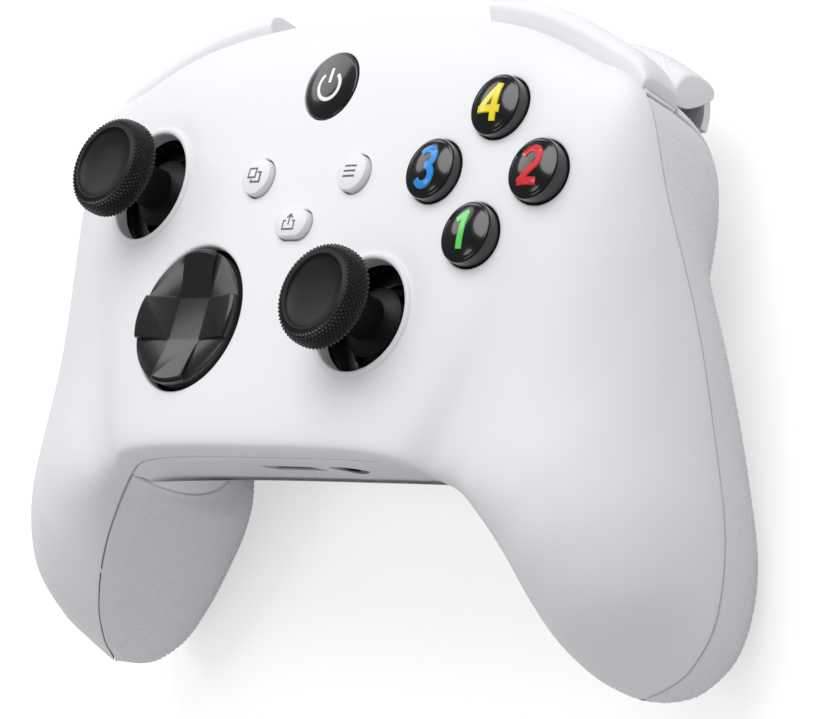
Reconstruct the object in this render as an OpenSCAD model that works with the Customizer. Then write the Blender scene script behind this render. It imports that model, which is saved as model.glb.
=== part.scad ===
// Wireless gamepad controller, in millimetres.
// Most of it is drawn in the frame of its face: X to the right, Y towards the triggers, Z out of the face.
// lay() then sets it down on its handles and its battery door, on the plane z = 0.

/* [Body] */
// Half the width over the seams of the handles
half_width = 76.3; // [73:0.1:80]
// Top edge of the front shell
top_y = 50.3; // [48:0.1:53]
// Lower edge between the handles
arch_y = -26.3; // [-28:0.1:-24]
// Ends of the handles
tip_y = -53.8; // [-57:0.1:-51]
// Height of the face above its seam
front_crown = 7.1; // [6.2:0.1:8.5]
// Depth of the handles behind the seam
grip_depth = 28; // [26:0.1:31]
// Wall of the two shells
shell_wall = 2.2; // [1.8:0.1:2.6]
// Wall of the grip panels
panel_wall = 2; // [1.6:0.1:2.4]
// Gap along the seams
seam_gap = 0.3; // [0.2:0.05:0.5]
// Slope of the face when it lies on a table
rest_tilt = 12; // [10:0.5:14]

/* [Sticks] */
// Centre of the outer controls to each side
outer_x = 41; // [40:0.1:43]
// Centre of the outer controls up the face
outer_y = 20.5; // [19.5:0.1:21.5]
// Centre of the inner controls to each side
inner_x = 21.2; // [20.5:0.1:22]
// Centre of the inner controls up the face
inner_y = -4; // [-5:0.1:-3]
// Opening of a stick well
well_d = 19; // [18.4:0.1:20]
// Outside of the lip round a well
lip_d = 22; // [21:0.1:23]
// Height of that lip above the face
lip_h = 0.8; // [0.4:0.1:1.2]
// Diameter of a stick cap
cap_d = 17.2; // [16:0.1:18]
// Thickness of a stick cap
cap_h = 4.8; // [4:0.1:5.5]
// Height of a cap above the face
cap_rise = 11.4; // [10.5:0.1:12.5]
// Depth of the dish in a cap
dish_h = 1.3; // [0.8:0.1:1.8]
// Neck under a cap
neck_d = 7.2; // [6:0.1:8]
// Metal shaft of a stick
shaft_d = 3; // [2.6:0.1:3.4]
// Square frame of a stick module
frame_w = 14.6; // [14:0.1:15]
// Height of the stick pivot above the board
pivot_h = 4.5; // [4.2:0.1:5]

/* [Buttons] */
// Diameter of a face button
face_d = 10.5; // [10:0.1:11]
// Offset of a face button from the middle of the four
face_pitch = 10.8; // [10.2:0.1:11.4]
// Height of a face button above the face
face_rise = 2.6; // [2.2:0.1:3]
// Travel of a face button
face_travel = 1.5; // [1:0.1:1.8]
// Diameter of the home button
home_d = 11.9; // [11:0.1:12.5]
// Home button up the face
home_y = 36.8; // [36:0.1:37.5]
// Diameter of the two round small buttons
small_d = 6.6; // [6:0.1:7]
// Small round buttons to each side
small_x = 11.7; // [11:0.1:12.5]
// Small round buttons up the face
small_y = 20.6; // [20:0.1:21.5]
// Length of the share button
share_l = 7.8; // [7:0.1:8.5]
// Width of the share button
share_w = 5; // [4.4:0.1:5.5]
// Share button up the face
share_y = 12; // [11.5:0.1:12.5]
// Height of the small buttons above the face
small_rise = 1.5; // [1:0.1:1.8]
// Travel of the small buttons
small_travel = 0.6; // [0.4:0.1:0.8]
// Gap round a button in its hole
button_gap = 0.25; // [0.2:0.05:0.35]
// Room left under a button at the end of its travel
press_room = 0.3; // [0.2:0.05:0.5]

/* [Direction pad] */
// Diameter of the direction pad
dpad_d = 24.8; // [24:0.1:25.4]
// Gap round the direction pad
dpad_gap = 0.95; // [0.9:0.05:1.2]
// Height of its edge above the face
dpad_rise = 1.7; // [1.2:0.1:2.2]
// Width of its arms
dpad_arm = 7.6; // [7:0.1:8.4]
// Depth of its dish
dpad_dish = 1.9; // [1.4:0.1:2.2]
// Pins of its cross joint
cross_d = 2.4; // [2:0.1:2.8]

/* [Bumpers and triggers] */
// Reach of a bumper past the seam
bumper_reach = 5.2; // [4:0.1:5.8]
// Rise of a bumper's crest over the seam
bumper_crest = 1.5; // [0:0.1:1.8]
// Height of a bumper
bumper_h = 8.8; // [8:0.1:9.2]
// Pin of a bumper
bumper_pin_d = 2.4; // [2:0.1:2.8]
// Inner end of a trigger
trigger_x = 37; // [36.5:0.1:38]
// Width of a trigger
trigger_w = 24.5; // [23.5:0.1:25]
// Pin of a trigger
trigger_pin_d = 2.4; // [2:0.1:2.8]
// Pivot of the triggers up the face
trigger_y = 38.5; // [38:0.1:39]
// Pivot of the triggers behind the face
trigger_z = -17; // [-17.4:0.1:-16.9]
// Running clearance of pins and shafts, on the radius
run_gap = 0.05; // [0.03:0.01:0.08]

/* [Power and sockets] */
// Diameter of an AA cell
cell_d = 14.5; // [14.2:0.1:14.6]
// Length of an AA cell
cell_l = 50.5; // [49.5:0.1:50.8]
// Thickness of the battery door
door_t = 1.8; // [1.5:0.1:2.2]
// Middle of the battery bay up the back
bay_y = 1; // [0:0.1:2]
// Radius of the headset plug bore
jack_r = 1.8; // [1.76:0.01:1.85]
// Depth of the headset plug bore
jack_l = 14; // [13.5:0.1:14.5]
// Width of the USB socket mouth
usb_w = 8.4; // [8.3:0.05:8.6]
// Height of the USB socket mouth
usb_h = 2.6; // [2.5:0.05:2.7]

/* [Inside] */
// Top of the main board behind the face
board_z = -13; // [-13.5:0.1:-12.8]
// Thickness of the boards
board_t = 1.2; // [1:0.1:1.6]
// Radius of a large rumble motor
motor_r = 7.6; // [7:0.1:8.2]
// Radius of a large rumble weight
weight_r = 7.8; // [7:0.1:8.2]
// Radius of a trigger motor
mini_r = 3.4; // [3:0.1:3.8]
// Shank of the case screws
screw_d = 2.4; // [2:0.1:2.8]

/* [Hidden] */
$fn = 48;
skin_n = 16;
white = [0.9, 0.91, 0.93];
dark = [0.06, 0.06, 0.065];
green = [0.08, 0.3, 0.17];
steel = [0.72, 0.73, 0.75];
rubber = [0.32, 0.33, 0.35];

// Shoulder of the seam, with a wall left beside the trigger
trigger_wall = 3.8;
shoulder_x = max(half_width - 11, trigger_x + trigger_w + trigger_wall);
// Half stations from the middle to the end of a handle: inner seam point, outer seam point,
// [face height, squareness at the inner and the outer side, place of the crest],
// [rear depth, squareness at the inner and the outer side, place of the crest, lean]
stations = [
  [[0, arch_y, -6.2], [0, top_y, -4.2], [front_crown, 4.8, 3.8, 0.58], [27.3, 2.4, 3, 0.5, 0]],
  [[14, arch_y, -6.2], [18, top_y - 0.1, -4.1], [front_crown - 0.1, 4.8, 3.8, 0.58],
    [27.3, 2.4, 3, 0.5, 0]],
  [[half_width * 0.3408, arch_y - 0.2, -6.6], [half_width * 0.498, top_y - 3.1, -4.2],
    [front_crown - 0.4, 4.4, 3.4, 0.57], [27.4, 2.4, 3, 0.5, 0]],
  [[half_width * 0.4456, arch_y - 0.8, -7.9], [half_width * 0.7077, top_y - 9, -4.6],
    [front_crown - 0.9, 3.8, 2.8, 0.54], [27.6, 2.5, 3, 0.48, 0]],
  [[half_width - 37.3, arch_y - 2, -10.6], [shoulder_x, 35.6, -5.4], [front_crown - 1.3, 3.2, 2.3, 0.48],
    [28.3, 2.8, 3.8, 0.44, -0.06]],
  [[half_width - 33.8, -29.8, -12.8], [half_width - 6.3, 20, -11.2], [front_crown + 0.5, 2.7, 2, 0.44],
    [grip_depth + 1.4, 3.4, 2.4, 0.38, -0.18]],
  [[half_width - 30.6, -33.4, -14.8], [half_width - 3, 3, -20.8], [10.8, 2.4, 2, 0.43],
    [grip_depth + 0.8, 3.4, 2.3, 0.34, -0.2]],
  [[half_width - 27.3, -38, -17.2], [half_width - 1, -14, -29.2], [13.5, 2.3, 2, 0.45],
    [grip_depth - 1.2, 3.3, 2.6, 0.33, -0.2]],
  [[half_width - 23.9, -43.4, -20.6], [half_width, -28, -35.6], [14.6, 2.2, 2.05, 0.48],
    [grip_depth - 4, 3, 2.7, 0.34, -0.18]],
  [[half_width - 20.3, tip_y + 5.1, -25.4], [half_width - 1.5, -40, -39.6], [13.2, 2.1, 2.1, 0.5],
    [19.4, 2.6, 2.4, 0.38, -0.14]],
  [[half_width - 16.9, tip_y + 1.6, -31], [half_width - 5.5, tip_y + 6.2, -41], [9.2, 2, 2.1, 0.5],
    [12.6, 2.2, 2.1, 0.45, -0.08]],
  [[half_width - 14.5, tip_y + 0.4, -35.2], [half_width - 8.9, tip_y + 2.6, -40.4], [5, 2, 2, 0.5],
    [6.6, 2, 2, 0.48, -0.03]],
  [[half_width - 12.3, tip_y, -38.2], [half_width - 11.8, tip_y, -38.6], [0.3, 2, 2, 0.5],
    [0.3, 2, 2, 0.5, 0]],
];
last = len(stations) - 1;
panel_at = 4;
// Where a bumper starts and ends along the seam
bumper_from = 1.42;
bumper_to = 3.86;
// Step in the rear shell under the bumpers
step_x = 25.4;
step_z = -14.4;

function unit(v) = v / norm(v);
function flat(s) = concat(s[0], s[1], s[2], s[3]);
function mirrored(r) = [for (i = [0:14]) (i == 0 || i == 3 || i == 14) ? -r[i] : r[i]];
flat_rows = [for (s = stations) flat(s)];
padded = concat([mirrored(flat_rows[1])], flat_rows, [2 * flat_rows[last] - flat_rows[last - 1]]);

// Smooth curve through p1 and p2, for points and for whole rows
function spline(p0, p1, p2, p3, t) =
  0.5 * (2 * p1 + (p2 - p0) * t + (2 * p0 - 5 * p1 + 4 * p2 - p3) * t * t
  + (3 * p1 - p0 - 3 * p2 + p3) * t * t * t);
function half_row(u) = let(i = min(floor(u), last - 1))
  spline(padded[i], padded[i + 1], padded[i + 2], padded[i + 3], u - i);
function row(u) = u < 0 ? mirrored(half_row(-u)) : half_row(u);
function inner_seam(r) = [r[0], r[1], r[2]];
function outer_seam(r) = [r[3], r[4], r[5]];

// One point of a body section, t from 0 at the inner seam to 180 at the outer one
function section_point(r, t, inset, front) = let(
  a = inner_seam(r),
  d = unit(outer_seam(r) - a),
  span = norm(outer_seam(r) - a) - 2 * inset,
  up = front ? unit([0, 0, 1] - d * d[2]) : unit([r[14], 0, -1]),
  o = front ? 6 : 10,
  c = cos(t),
  n = c > 0 ? r[o + 1] : r[o + 2],
  k = r[o + 3],
  along = pow(abs(c), 2 / n),
  x = c > 0 ? k * (1 - along) : k + (1 - k) * along,
  drop = front ? [0, 0, 0] : [0, 0, -seam_gap]
) a + drop + d * (inset + x * span) + up * (r[o] - inset) * pow(max(sin(t), 0), 2 / n);
function section(u, inset, front) =
  let(r = row(u)) [for (j = [0:skin_n]) section_point(r, 180 * j / skin_n, inset, front)];

// Height of the face over a point, found on the section through it
function side_of(u, x, y) = let(r = half_row(u)) (r[3] - r[0]) * (y - r[1]) - (r[4] - r[1]) * (x - r[0]);
function row_under(x, y, lo, hi, n) = n == 0 ? (lo + hi) / 2 :
  side_of((lo + hi) / 2, x, y) < 0 ? row_under(x, y, (lo + hi) / 2, hi, n - 1)
  : row_under(x, y, lo, (lo + hi) / 2, n - 1);
function face_z(x, y) = let(
  r = half_row(row_under(abs(x), y, 0, 9, 24)),
  a = inner_seam(r),
  across = [r[3] - r[0], r[4] - r[1]],
  s = ([abs(x), y] - [r[0], r[1]]) * across / (across * across),
  n = s < r[9] ? r[7] : r[8],
  c = s < r[9] ? 1 - s / r[9] : (s - r[9]) / (1 - r[9])
) a[2] + (r[5] - a[2]) * s + r[6] * pow(1 - pow(c, n), 1 / n);
// Highest level that stays clear under the shell all round a circle
function under_face(x, y, r) =
  min([for (q = [0:45:315]) face_z(x + r * cos(q), y + r * sin(q))]) - 1.05 * shell_wall - 0.35;

// Face frame to table frame
function laid(p) = [p[0], p[1] * cos(rest_tilt) + p[2] * sin(rest_tilt),
  p[2] * cos(rest_tilt) - p[1] * sin(rest_tilt)];
grip_rows = [for (i = [0:24]) panel_at + (last - panel_at) * i / 24];
rest_z = -min([for (u = grip_rows) for (p = section(u, 0, false)) laid(p)[2]]);
tail_y = min([for (u = grip_rows) for (p = section(u, 0, false)) laid(p)[1]]);
head_y = max([for (i = [0:20]) for (p = bumper_section(bumper_u(i / 20), i / 20)) laid(p)[1]]);
shift_y = -(tail_y + head_y) / 2;

module lay() {
  translate([0, shift_y, rest_z])
    rotate([-rest_tilt, 0, 0])
      children();
}
module on_face(x, y, z = 0) {
  translate([x, y, z])
    children();
}
module both_sides() {
  children();
  mirror([1, 0, 0])
    children();
}

// Solid between two grids of points with the same rows and columns
module skin(outer, inner) {
  rows = len(outer) - 1;
  cols = len(outer[0]) - 1;
  width = cols + 1;
  half = (rows + 1) * width;
  function o(i, j) = i * width + j;
  function n(i, j) = half + i * width + j;
  faces = concat(
    [for (i = [0:rows - 1]) for (j = [0:cols - 1]) [o(i, j), o(i, j + 1), o(i + 1, j + 1)]],
    [for (i = [0:rows - 1]) for (j = [0:cols - 1]) [o(i, j), o(i + 1, j + 1), o(i + 1, j)]],
    [for (i = [0:rows - 1]) for (j = [0:cols - 1]) [n(i, j), n(i + 1, j + 1), n(i, j + 1)]],
    [for (i = [0:rows - 1]) for (j = [0:cols - 1]) [n(i, j), n(i + 1, j), n(i + 1, j + 1)]],
    [for (i = [0:rows - 1]) [o(i, 0), o(i + 1, 0), n(i + 1, 0)]],
    [for (i = [0:rows - 1]) [o(i, 0), n(i + 1, 0), n(i, 0)]],
    [for (i = [0:rows - 1]) [o(i, cols), n(i + 1, cols), o(i + 1, cols)]],
    [for (i = [0:rows - 1]) [o(i, cols), n(i, cols), n(i + 1, cols)]],
    [for (j = [0:cols - 1]) [o(0, j), n(0, j + 1), o(0, j + 1)]],
    [for (j = [0:cols - 1]) [o(0, j), n(0, j), n(0, j + 1)]],
    [for (j = [0:cols - 1]) [o(rows, j), o(rows, j + 1), n(rows, j + 1)]],
    [for (j = [0:cols - 1]) [o(rows, j), n(rows, j + 1), n(rows, j)]]
  );
  points = concat([for (r = outer) for (p = r) p], [for (r = inner) for (p = r) p]);
  polyhedron(points, faces);
}
// Solid through closed loops of points
module loft(loops) {
  rows = len(loops) - 1;
  width = len(loops[0]);
  function v(i, j) = i * width + j % width;
  faces = concat(
    [for (i = [0:rows - 1]) for (j = [0:width - 1]) [v(i, j), v(i + 1, j + 1), v(i, j + 1)]],
    [for (i = [0:rows - 1]) for (j = [0:width - 1]) [v(i, j), v(i + 1, j), v(i + 1, j + 1)]],
    [[for (j = [0:width - 1]) v(0, j)]],
    [[for (j = [0:width - 1]) v(rows, width - 1 - j)]]
  );
  polyhedron([for (l = loops) for (p = l) p], faces);
}
module pill(l, w, h) {
  translate([-(l - w) / 2, -w / 2, 0])
    cube([l - w, w, h]);
  for (s = [-1, 1])
    translate([s * (l - w) / 2, 0, 0])
      cylinder(h = h, d = w);
}
module round_box(l, w, h, r) {
  translate([-l / 2 + r, -w / 2, 0])
    cube([l - 2 * r, w, h]);
  translate([-l / 2, -w / 2 + r, 0])
    cube([l, w - 2 * r, h]);
  for (s = [-1, 1])
    for (t = [-1, 1])
      translate([s * (l / 2 - r), t * (w / 2 - r), 0])
        cylinder(h = h, r = r);
}
module x_rod(x0, x1, r) {
  translate([x0, 0, 0])
    rotate([0, 90, 0])
      cylinder(h = x1 - x0, r = r);
}
module y_rod(y0, y1, r) {
  translate([0, y0, 0])
    rotate([-90, 0, 0])
      cylinder(h = y1 - y0, r = r);
}

// Half of the body as a solid, for cutting ribs and bosses to its walls
module body_half(inset, front) {
  tip = last - 1.4;
  us = [for (i = [0:24]) -tip + 2 * tip * i / 24];
  loops = [for (u = us) section(u, inset, front)];
  if (front) loft([for (l = loops) [for (j = [0:skin_n]) l[skin_n - j]]]);
  else loft(loops);
}

case_screws_at = [[half_width - 20.3, -4], [half_width - 16.8, 16]];
board_screws_at = [[33, -17], [22, 31.5]];
case_split_z = -24;
board_low = board_z - board_t;

face_places = [[0, 1], [1, 0], [0, -1], [-1, 0]];
function face_at(i) = [outer_x, outer_y] + face_pitch * face_places[i];
left_stick = [-outer_x, outer_y];
right_stick = [inner_x, inner_y];
pivot_z = board_z + pivot_h;

module stick_lip(p) {
  z = face_z(p[0], p[1]);
  translate([p[0], p[1], z])
    rotate_extrude()
      polygon([[well_d / 2, -1.6], [lip_d / 2, -1.6], [lip_d / 2, 0.1], [lip_d / 2 - 0.5, lip_h - 0.2],
        [lip_d / 2 - 1, lip_h], [well_d / 2 + 0.3, lip_h - 0.3], [well_d / 2, lip_h - 0.7]]);
}
module front_shell() {
  us = [for (i = [-30:30]) last * i / 30];
  color(white)
    lay()
      difference() {
        union() {
          skin(
            [for (u = us) section(u, 0, true)],
            [for (u = us) section(u * (last - 1) / last, shell_wall, true)]
          );
          stick_lip(left_stick);
          stick_lip(right_stick);
          intersection() {
            body_half(shell_wall / 2, true);
            both_sides()
              union() {
                for (p = case_screws_at)
                  on_face(p[0], p[1], case_split_z)
                    cylinder(h = 40, d = screw_d + 3.2);
                for (p = board_screws_at)
                  on_face(p[0], p[1], board_z)
                    cylinder(h = 40, d = screw_d + 2.6);
              }
          }
          both_sides()
            for (p = case_screws_at)
              on_face(p[0], p[1], case_split_z)
                cylinder(h = face_z(p[0], p[1]) - case_split_z - shell_wall - 1, d = screw_d + 3.2);
          both_sides()
            for (p = board_screws_at)
              on_face(p[0], p[1], board_z)
                cylinder(h = face_z(p[0], p[1]) - board_z - shell_wall, d = screw_d + 2.6);
        }
        for (p = [left_stick, right_stick])
          on_face(p[0], p[1], face_z(p[0], p[1]) - 8)
            cylinder(h = 20, d = well_d);
        for (i = [0:3])
          on_face(face_at(i)[0], face_at(i)[1], -8)
            cylinder(h = 20, d = face_d + 2 * button_gap);
        on_face(0, home_y, -8)
          cylinder(h = 20, d = home_d + 2 * button_gap);
        for (s = [-1, 1])
          on_face(s * small_x, small_y, -8)
            cylinder(h = 20, d = small_d + 2 * button_gap);
        on_face(0, share_y, -8)
          pill(share_l + 2 * button_gap, share_w + 2 * button_gap, 20);
        on_face(-inner_x, inner_y, -8)
          cylinder(h = 20, d = dpad_d + 2 * dpad_gap);
        both_sides()
          union() {
            for (p = case_screws_at)
              on_face(p[0], p[1], case_split_z - 1)
                cylinder(h = 9, d = screw_d + 2 * run_gap);
            for (p = board_screws_at)
              on_face(p[0], p[1], board_z - 1)
                cylinder(h = 7, d = screw_d - 0.4 + 2 * run_gap);
          }
      }
}

// Battery bay, drawn in the table frame about its own middle
bay_l = cell_l + 5;
bay_w = 2 * cell_d + 2.4;
bay_h = door_t + cell_d + 1.6;
door_l = bay_l + 3.6;
door_w = bay_w + 4;
door_gap = 0.25;
bay_mid = laid([0, bay_y, -30])[1];
module at_bay() {
  translate([0, bay_mid + shift_y, 0])
    children();
}
module bay_block() {
  at_bay()
    hull() {
      translate([0, 0, 0.5])
        round_box(door_l + 5, door_w + 5, 1, 6);
      translate([0, 0, bay_h * 0.55])
        round_box(door_l + 22, door_w + 12, 1, 10);
      translate([0, 0, bay_h + 0.6])
        round_box(door_l + 8, door_w + 6, 1.2, 8);
    }
}
rumble_x = half_width - 15.3;
rumble_y = -20;
rumble_z = -30;
mini_x = 24;
mini_y = 29;
mini_z = -21.5;
module cradle_blocks() {
  for (y = [rumble_y - 3, rumble_y + 4])
    translate([rumble_x - motor_r, y, rumble_z - 30])
      cube([2 * motor_r, 2, 28]);
}
module mini_cradle() {
  translate([mini_x + 1.5, mini_y - mini_r, mini_z - 30])
    cube([4, 2 * mini_r, 29]);
}
shelf_z = -18;
module rear_shell() {
  n = 20;
  steps = concat(
    [for (i = [0:n]) [-last + (last - panel_at) * i / n, 1]],
    [for (i = [0:16]) [-panel_at + 2 * panel_at * i / 16, 0]],
    [for (i = [0:n]) [panel_at + (last - panel_at) * i / n, 1]]
  );
  under = panel_wall + seam_gap;
  function shrunk(u, tip) =
    sign(u) * (panel_at + (abs(u) - panel_at) * (tip - panel_at) / (last - panel_at));
  function outer_row(s) = s[1] == 0 ? section(s[0] * 0.995, 0, false)
    : section(shrunk(s[0], last - 1), under, false);
  function inner_row(s) = s[1] == 0 ? section(s[0] * 0.96, shell_wall, false)
    : section(shrunk(s[0], last - 1.8), under + shell_wall, false);
  color(white)
    difference() {
      union() {
        lay()
          difference() {
            skin([for (s = steps) inner_row(s)], [for (s = steps) outer_row(s)]);
            shoulder_room();
            both_sides()
              trigger_room();
          }
        lay()
          intersection() {
            body_half(under + shell_wall / 2, false);
            both_sides()
              union() {
                cradle_blocks();
                for (p = case_screws_at)
                  on_face(p[0], p[1], case_split_z - 40)
                    cylinder(h = 40, d = screw_d + 4.4);
              }
          }
        lay()
          shelf();
        bay_block();
      }
      at_bay()
        translate([0, 0, -1])
          round_box(bay_l, bay_w, bay_h + 1, 2);
      at_bay()
        translate([0, 0, -1])
          round_box(door_l + 2 * door_gap, door_w + 2 * door_gap, door_t + 1.25, 4);
      at_bay()
        translate([-door_l / 2 - door_gap, -40, -1])
          cube([door_l + 2 * door_gap, 40, door_t + 1.25]);
      lay()
        both_sides()
          union() {
            translate([rumble_x, rumble_y, rumble_z])
              y_rod(-8, 9, motor_r + 0.05);
            translate([mini_x - 1, mini_y, mini_z])
              x_rod(0, 9, mini_r + 0.05);
            for (p = case_screws_at) {
              on_face(p[0], p[1], case_split_z - 60)
                cylinder(h = 70, d = screw_d + 0.6);
              on_face(p[0], p[1], case_split_z - 60)
                cylinder(h = 60 - screw_grip, d = screw_d + 3.2);
            }
            translate([bumper_pin_at[0], bumper_pin_at[1], shelf_z - 5])
              cylinder(h = 10, d = bumper_pin_d);
            translate([0, trigger_y, trigger_z])
              x_rod(trigger_x - 3.4, cheek_x + 7.5, trigger_pin_d / 2);
          }
      lay()
        socket_holes();
    }
}
screw_grip = 3;
// Room for the bumpers and the bridge along the top edge
module shoulder_room() {
  edge = shoulder_x - 0.8;
  translate([-step_x, 40, shelf_z])
    cube([2 * step_x, 20, 30]);
  translate([0, 0, step_z])
    linear_extrude(height = 30)
      polygon([[-edge, 60], [edge, 60], [edge, 33], [edge - 3, 31.5], [53, 34.5], [36, 40],
        [-36, 40], [-53, 34.5], [3 - edge, 31.5], [-edge, 33]]);
  both_sides()
    translate([trigger_x, 33, shelf_z])
      cube([trigger_w + 0.7, 30, 10]);
}
module trigger_room() {
  translate([trigger_x - 0.7, trigger_y - 4.5, -50])
    cube([trigger_w + 1.4, 40, 40]);
}
// Shelf under the bridge and cheeks for the trigger pins
module shelf() {
  intersection() {
    body_half(shell_wall / 2, false);
    union() {
      translate([-34, 36, shelf_z - 2])
        cube([68, 20, 2]);
      both_sides()
        mini_cradle();
      both_sides()
        translate([bumper_pin_at[0] - 2.6, bumper_pin_at[1] - 3.4, shelf_z - 2])
          cube([5.2, 6, step_z - shelf_z + 2]);
      both_sides()
        translate([cheek_x, trigger_y - 9, trigger_z - 30])
          cube([cheek_t, 4, 25]);
    }
  }
  both_sides()
    union() {
      translate([trigger_x - 3.4, trigger_y - 3, shelf_z - 2])
        cube([2.4, 6, trigger_z - shelf_z + 4.2]);
      translate([30, trigger_y - 1.5, shelf_z - 2])
        cube([trigger_x - 31.5, 4.5, 2]);
    }
  both_sides()
    translate([cheek_x, 0, 0])
      rotate([90, 0, 90])
        linear_extrude(height = cheek_t)
          polygon([[trigger_y - 9, -26.5], [trigger_y - 5, -26.5], [trigger_y - 5, trigger_z - 4],
            [trigger_y, trigger_z - 3], [trigger_y + 2, trigger_z - 2], [trigger_y + 2, trigger_z + 2],
            [trigger_y - 2, trigger_z + 2.5], [trigger_y - 9, trigger_z - 5]]);
}
cheek_x = trigger_x + 10.1;
cheek_t = 2.2;
jack_at = [7.5, arch_y + 2.2, board_low - 3.1];
port_at = [-5.5, arch_y + 2.2, board_low - 2.6];
usb_at = [0, top_y, board_z + 1.85];
sync_at = [-14, top_y, board_z + 2];
module socket_holes() {
  translate([jack_at[0], jack_at[1] - 7, jack_at[2]])
    y_rod(0, 14, jack_r + 1.55);
  translate([port_at[0], port_at[1] + 4, port_at[2]])
    rotate([90, 0, 0])
      round_box(12.8, 4.8, 12, 0.8);
}

module grip_panel() {
  us = [for (i = [0:24]) panel_at + 0.04 + (last - panel_at - 0.04) * i / 24];
  function shrunk(u) = panel_at + (u - panel_at) * (last - 1 - panel_at) / (last - panel_at);
  skin([for (u = us) section(shrunk(u), panel_wall, false)], [for (u = us) section(u, 0, false)]);
}
module right_grip_panel() {
  color(white)
    lay()
      grip_panel();
}
module left_grip_panel() {
  color(white)
    lay()
      mirror([1, 0, 0])
        grip_panel();
}
module battery_door() {
  color(white)
    at_bay() {
      round_box(door_l, door_w, door_t, 4);
      translate([-door_l / 2, -door_w / 2 - 2.2, 0])
        round_end();
    }
}
module round_end() {
  translate([4, 0, 0])
    cube([door_l - 8, 8, door_t]);
}

// Bumpers: u along the seam, f from 0 at the inner end to 1 at the outer end
bumper_pin_at = [29.5, top_y - 3.6];
function bumper_u(f) = bumper_from + (bumper_to - bumper_from) * f;
function bumper_section(u, f) = let(
  r = row(u),
  b = outer_seam(r),
  e = unit([r[3] - r[0], r[4] - r[1], 0]),
  p = bumper_reach * sqrt(1 - pow(f / 1.03, 4)),
  root = -1.8 - 3.2 * max(0, 1 - 2.5 * f),
  top = -seam_gap - 0.1,
  crest = top + bumper_crest * (1 - f * f),
  low = max(top - bumper_h, step_z + 0.2 - b[2])
) [for (q = [[root, top - 0.2], [0.3 * p, top], [0.62 * p, crest], [0.9 * p, crest - 0.8], [p, crest - 2.8],
  [0.9 * p, 0.3 * top + 0.7 * low], [0.5 * p, 0.06 * top + 0.94 * low], [-1, low], [root, low]])
  b + e * q[0] + [0, 0, q[1]]];
module bumper() {
  difference() {
    loft([for (i = [0:20]) [for (j = [0:8]) bumper_section(bumper_u(i / 20), i / 20)[8 - j]]]);
    translate([bumper_pin_at[0], bumper_pin_at[1], -30])
      cylinder(h = 40, d = bumper_pin_d + 2 * run_gap);
  }
}
module right_bumper() {
  color(white)
    lay()
      bumper();
}
module left_bumper() {
  color(white)
    lay()
      mirror([1, 0, 0])
        bumper();
}
module bumper_pins() {
  color(steel)
    lay()
      both_sides()
        translate([bumper_pin_at[0], bumper_pin_at[1], shelf_z - 2])
          cylinder(h = 12, d = bumper_pin_d);
}
function bridge_section(u) = let(
  r = row(u),
  b = outer_seam(r),
  e = unit([r[3] - r[0], r[4] - r[1], 0]),
  low = shelf_z + 0.2
) [[b[0] - 2.6 * e[0], b[1] - 2.6 * e[1], b[2] - seam_gap - 0.1], [b[0], b[1], b[2] - seam_gap - 0.1],
  [b[0] + 0.3 * e[0], b[1] + 0.3 * e[1], b[2] - 4], [b[0] - 0.1 * e[0], b[1] - 0.1 * e[1], low],
  [b[0] - 2.6 * e[0], b[1] - 2.6 * e[1], low]];
module top_bridge() {
  ends = bumper_from - 0.06;
  color(white)
    lay()
      difference() {
        loft([for (i = [0:16]) [for (j = [0:4]) bridge_section(ends * (i / 8 - 1))[4 - j]]]);
        translate([usb_at[0], usb_at[1] + 4, usb_at[2]])
          rotate([90, 0, 0])
            pill(usb_w + 1.4, usb_h + 1.4, 12);
        translate([sync_at[0], sync_at[1] + 4, sync_at[2]])
          rotate([90, 0, 0])
            pill(5 + 2 * button_gap, 2.6 + 2 * button_gap, 12);
      }
}

// Trigger blade: loops across X, shaped in Y and Z round its pivot
trigger_inner = [[44.5, -15.2], [48.6, -15.5], [51.2, -17.4], [52.2, -20.5], [52, -23.5], [51.4, -25.6],
  [51.9, -27.4], [50.6, -28.4], [48.2, -27.6], [45, -25.2], [42.9, -22.2], [42, -18.4]];
trigger_outer = [[38, -15.2], [41.6, -15.5], [43.4, -16.6], [44.3, -18.2], [44.6, -19.6], [44.6, -21],
  [44.5, -22.4], [44, -23.9], [42.6, -24.4], [41, -22.8], [39.4, -20.6], [38.3, -18.4]];
function trigger_loop(f) = let(
  x = trigger_x + trigger_w * f,
  swept = pow(f, 2),
  edge = min(f, 1 - f) * trigger_w,
  s = edge < 0.1 ? 0.88 : edge < 1.3 ? 0.97 : 1,
  shape = trigger_inner + swept * (trigger_outer - trigger_inner),
  mid = (shape[0] + shape[4] + shape[7] + shape[10]) / 4
) [for (p = shape) let(q = mid + s * (p - mid)) [x, q[0], q[1]]];
trigger_steps = [0, 0.04, 0.1, 0.25, 0.4, 0.55, 0.7, 0.8, 0.9, 0.96, 1];
shroud_r = 8.6;
hub_r = trigger_pin_d / 2 + 1.3;
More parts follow.
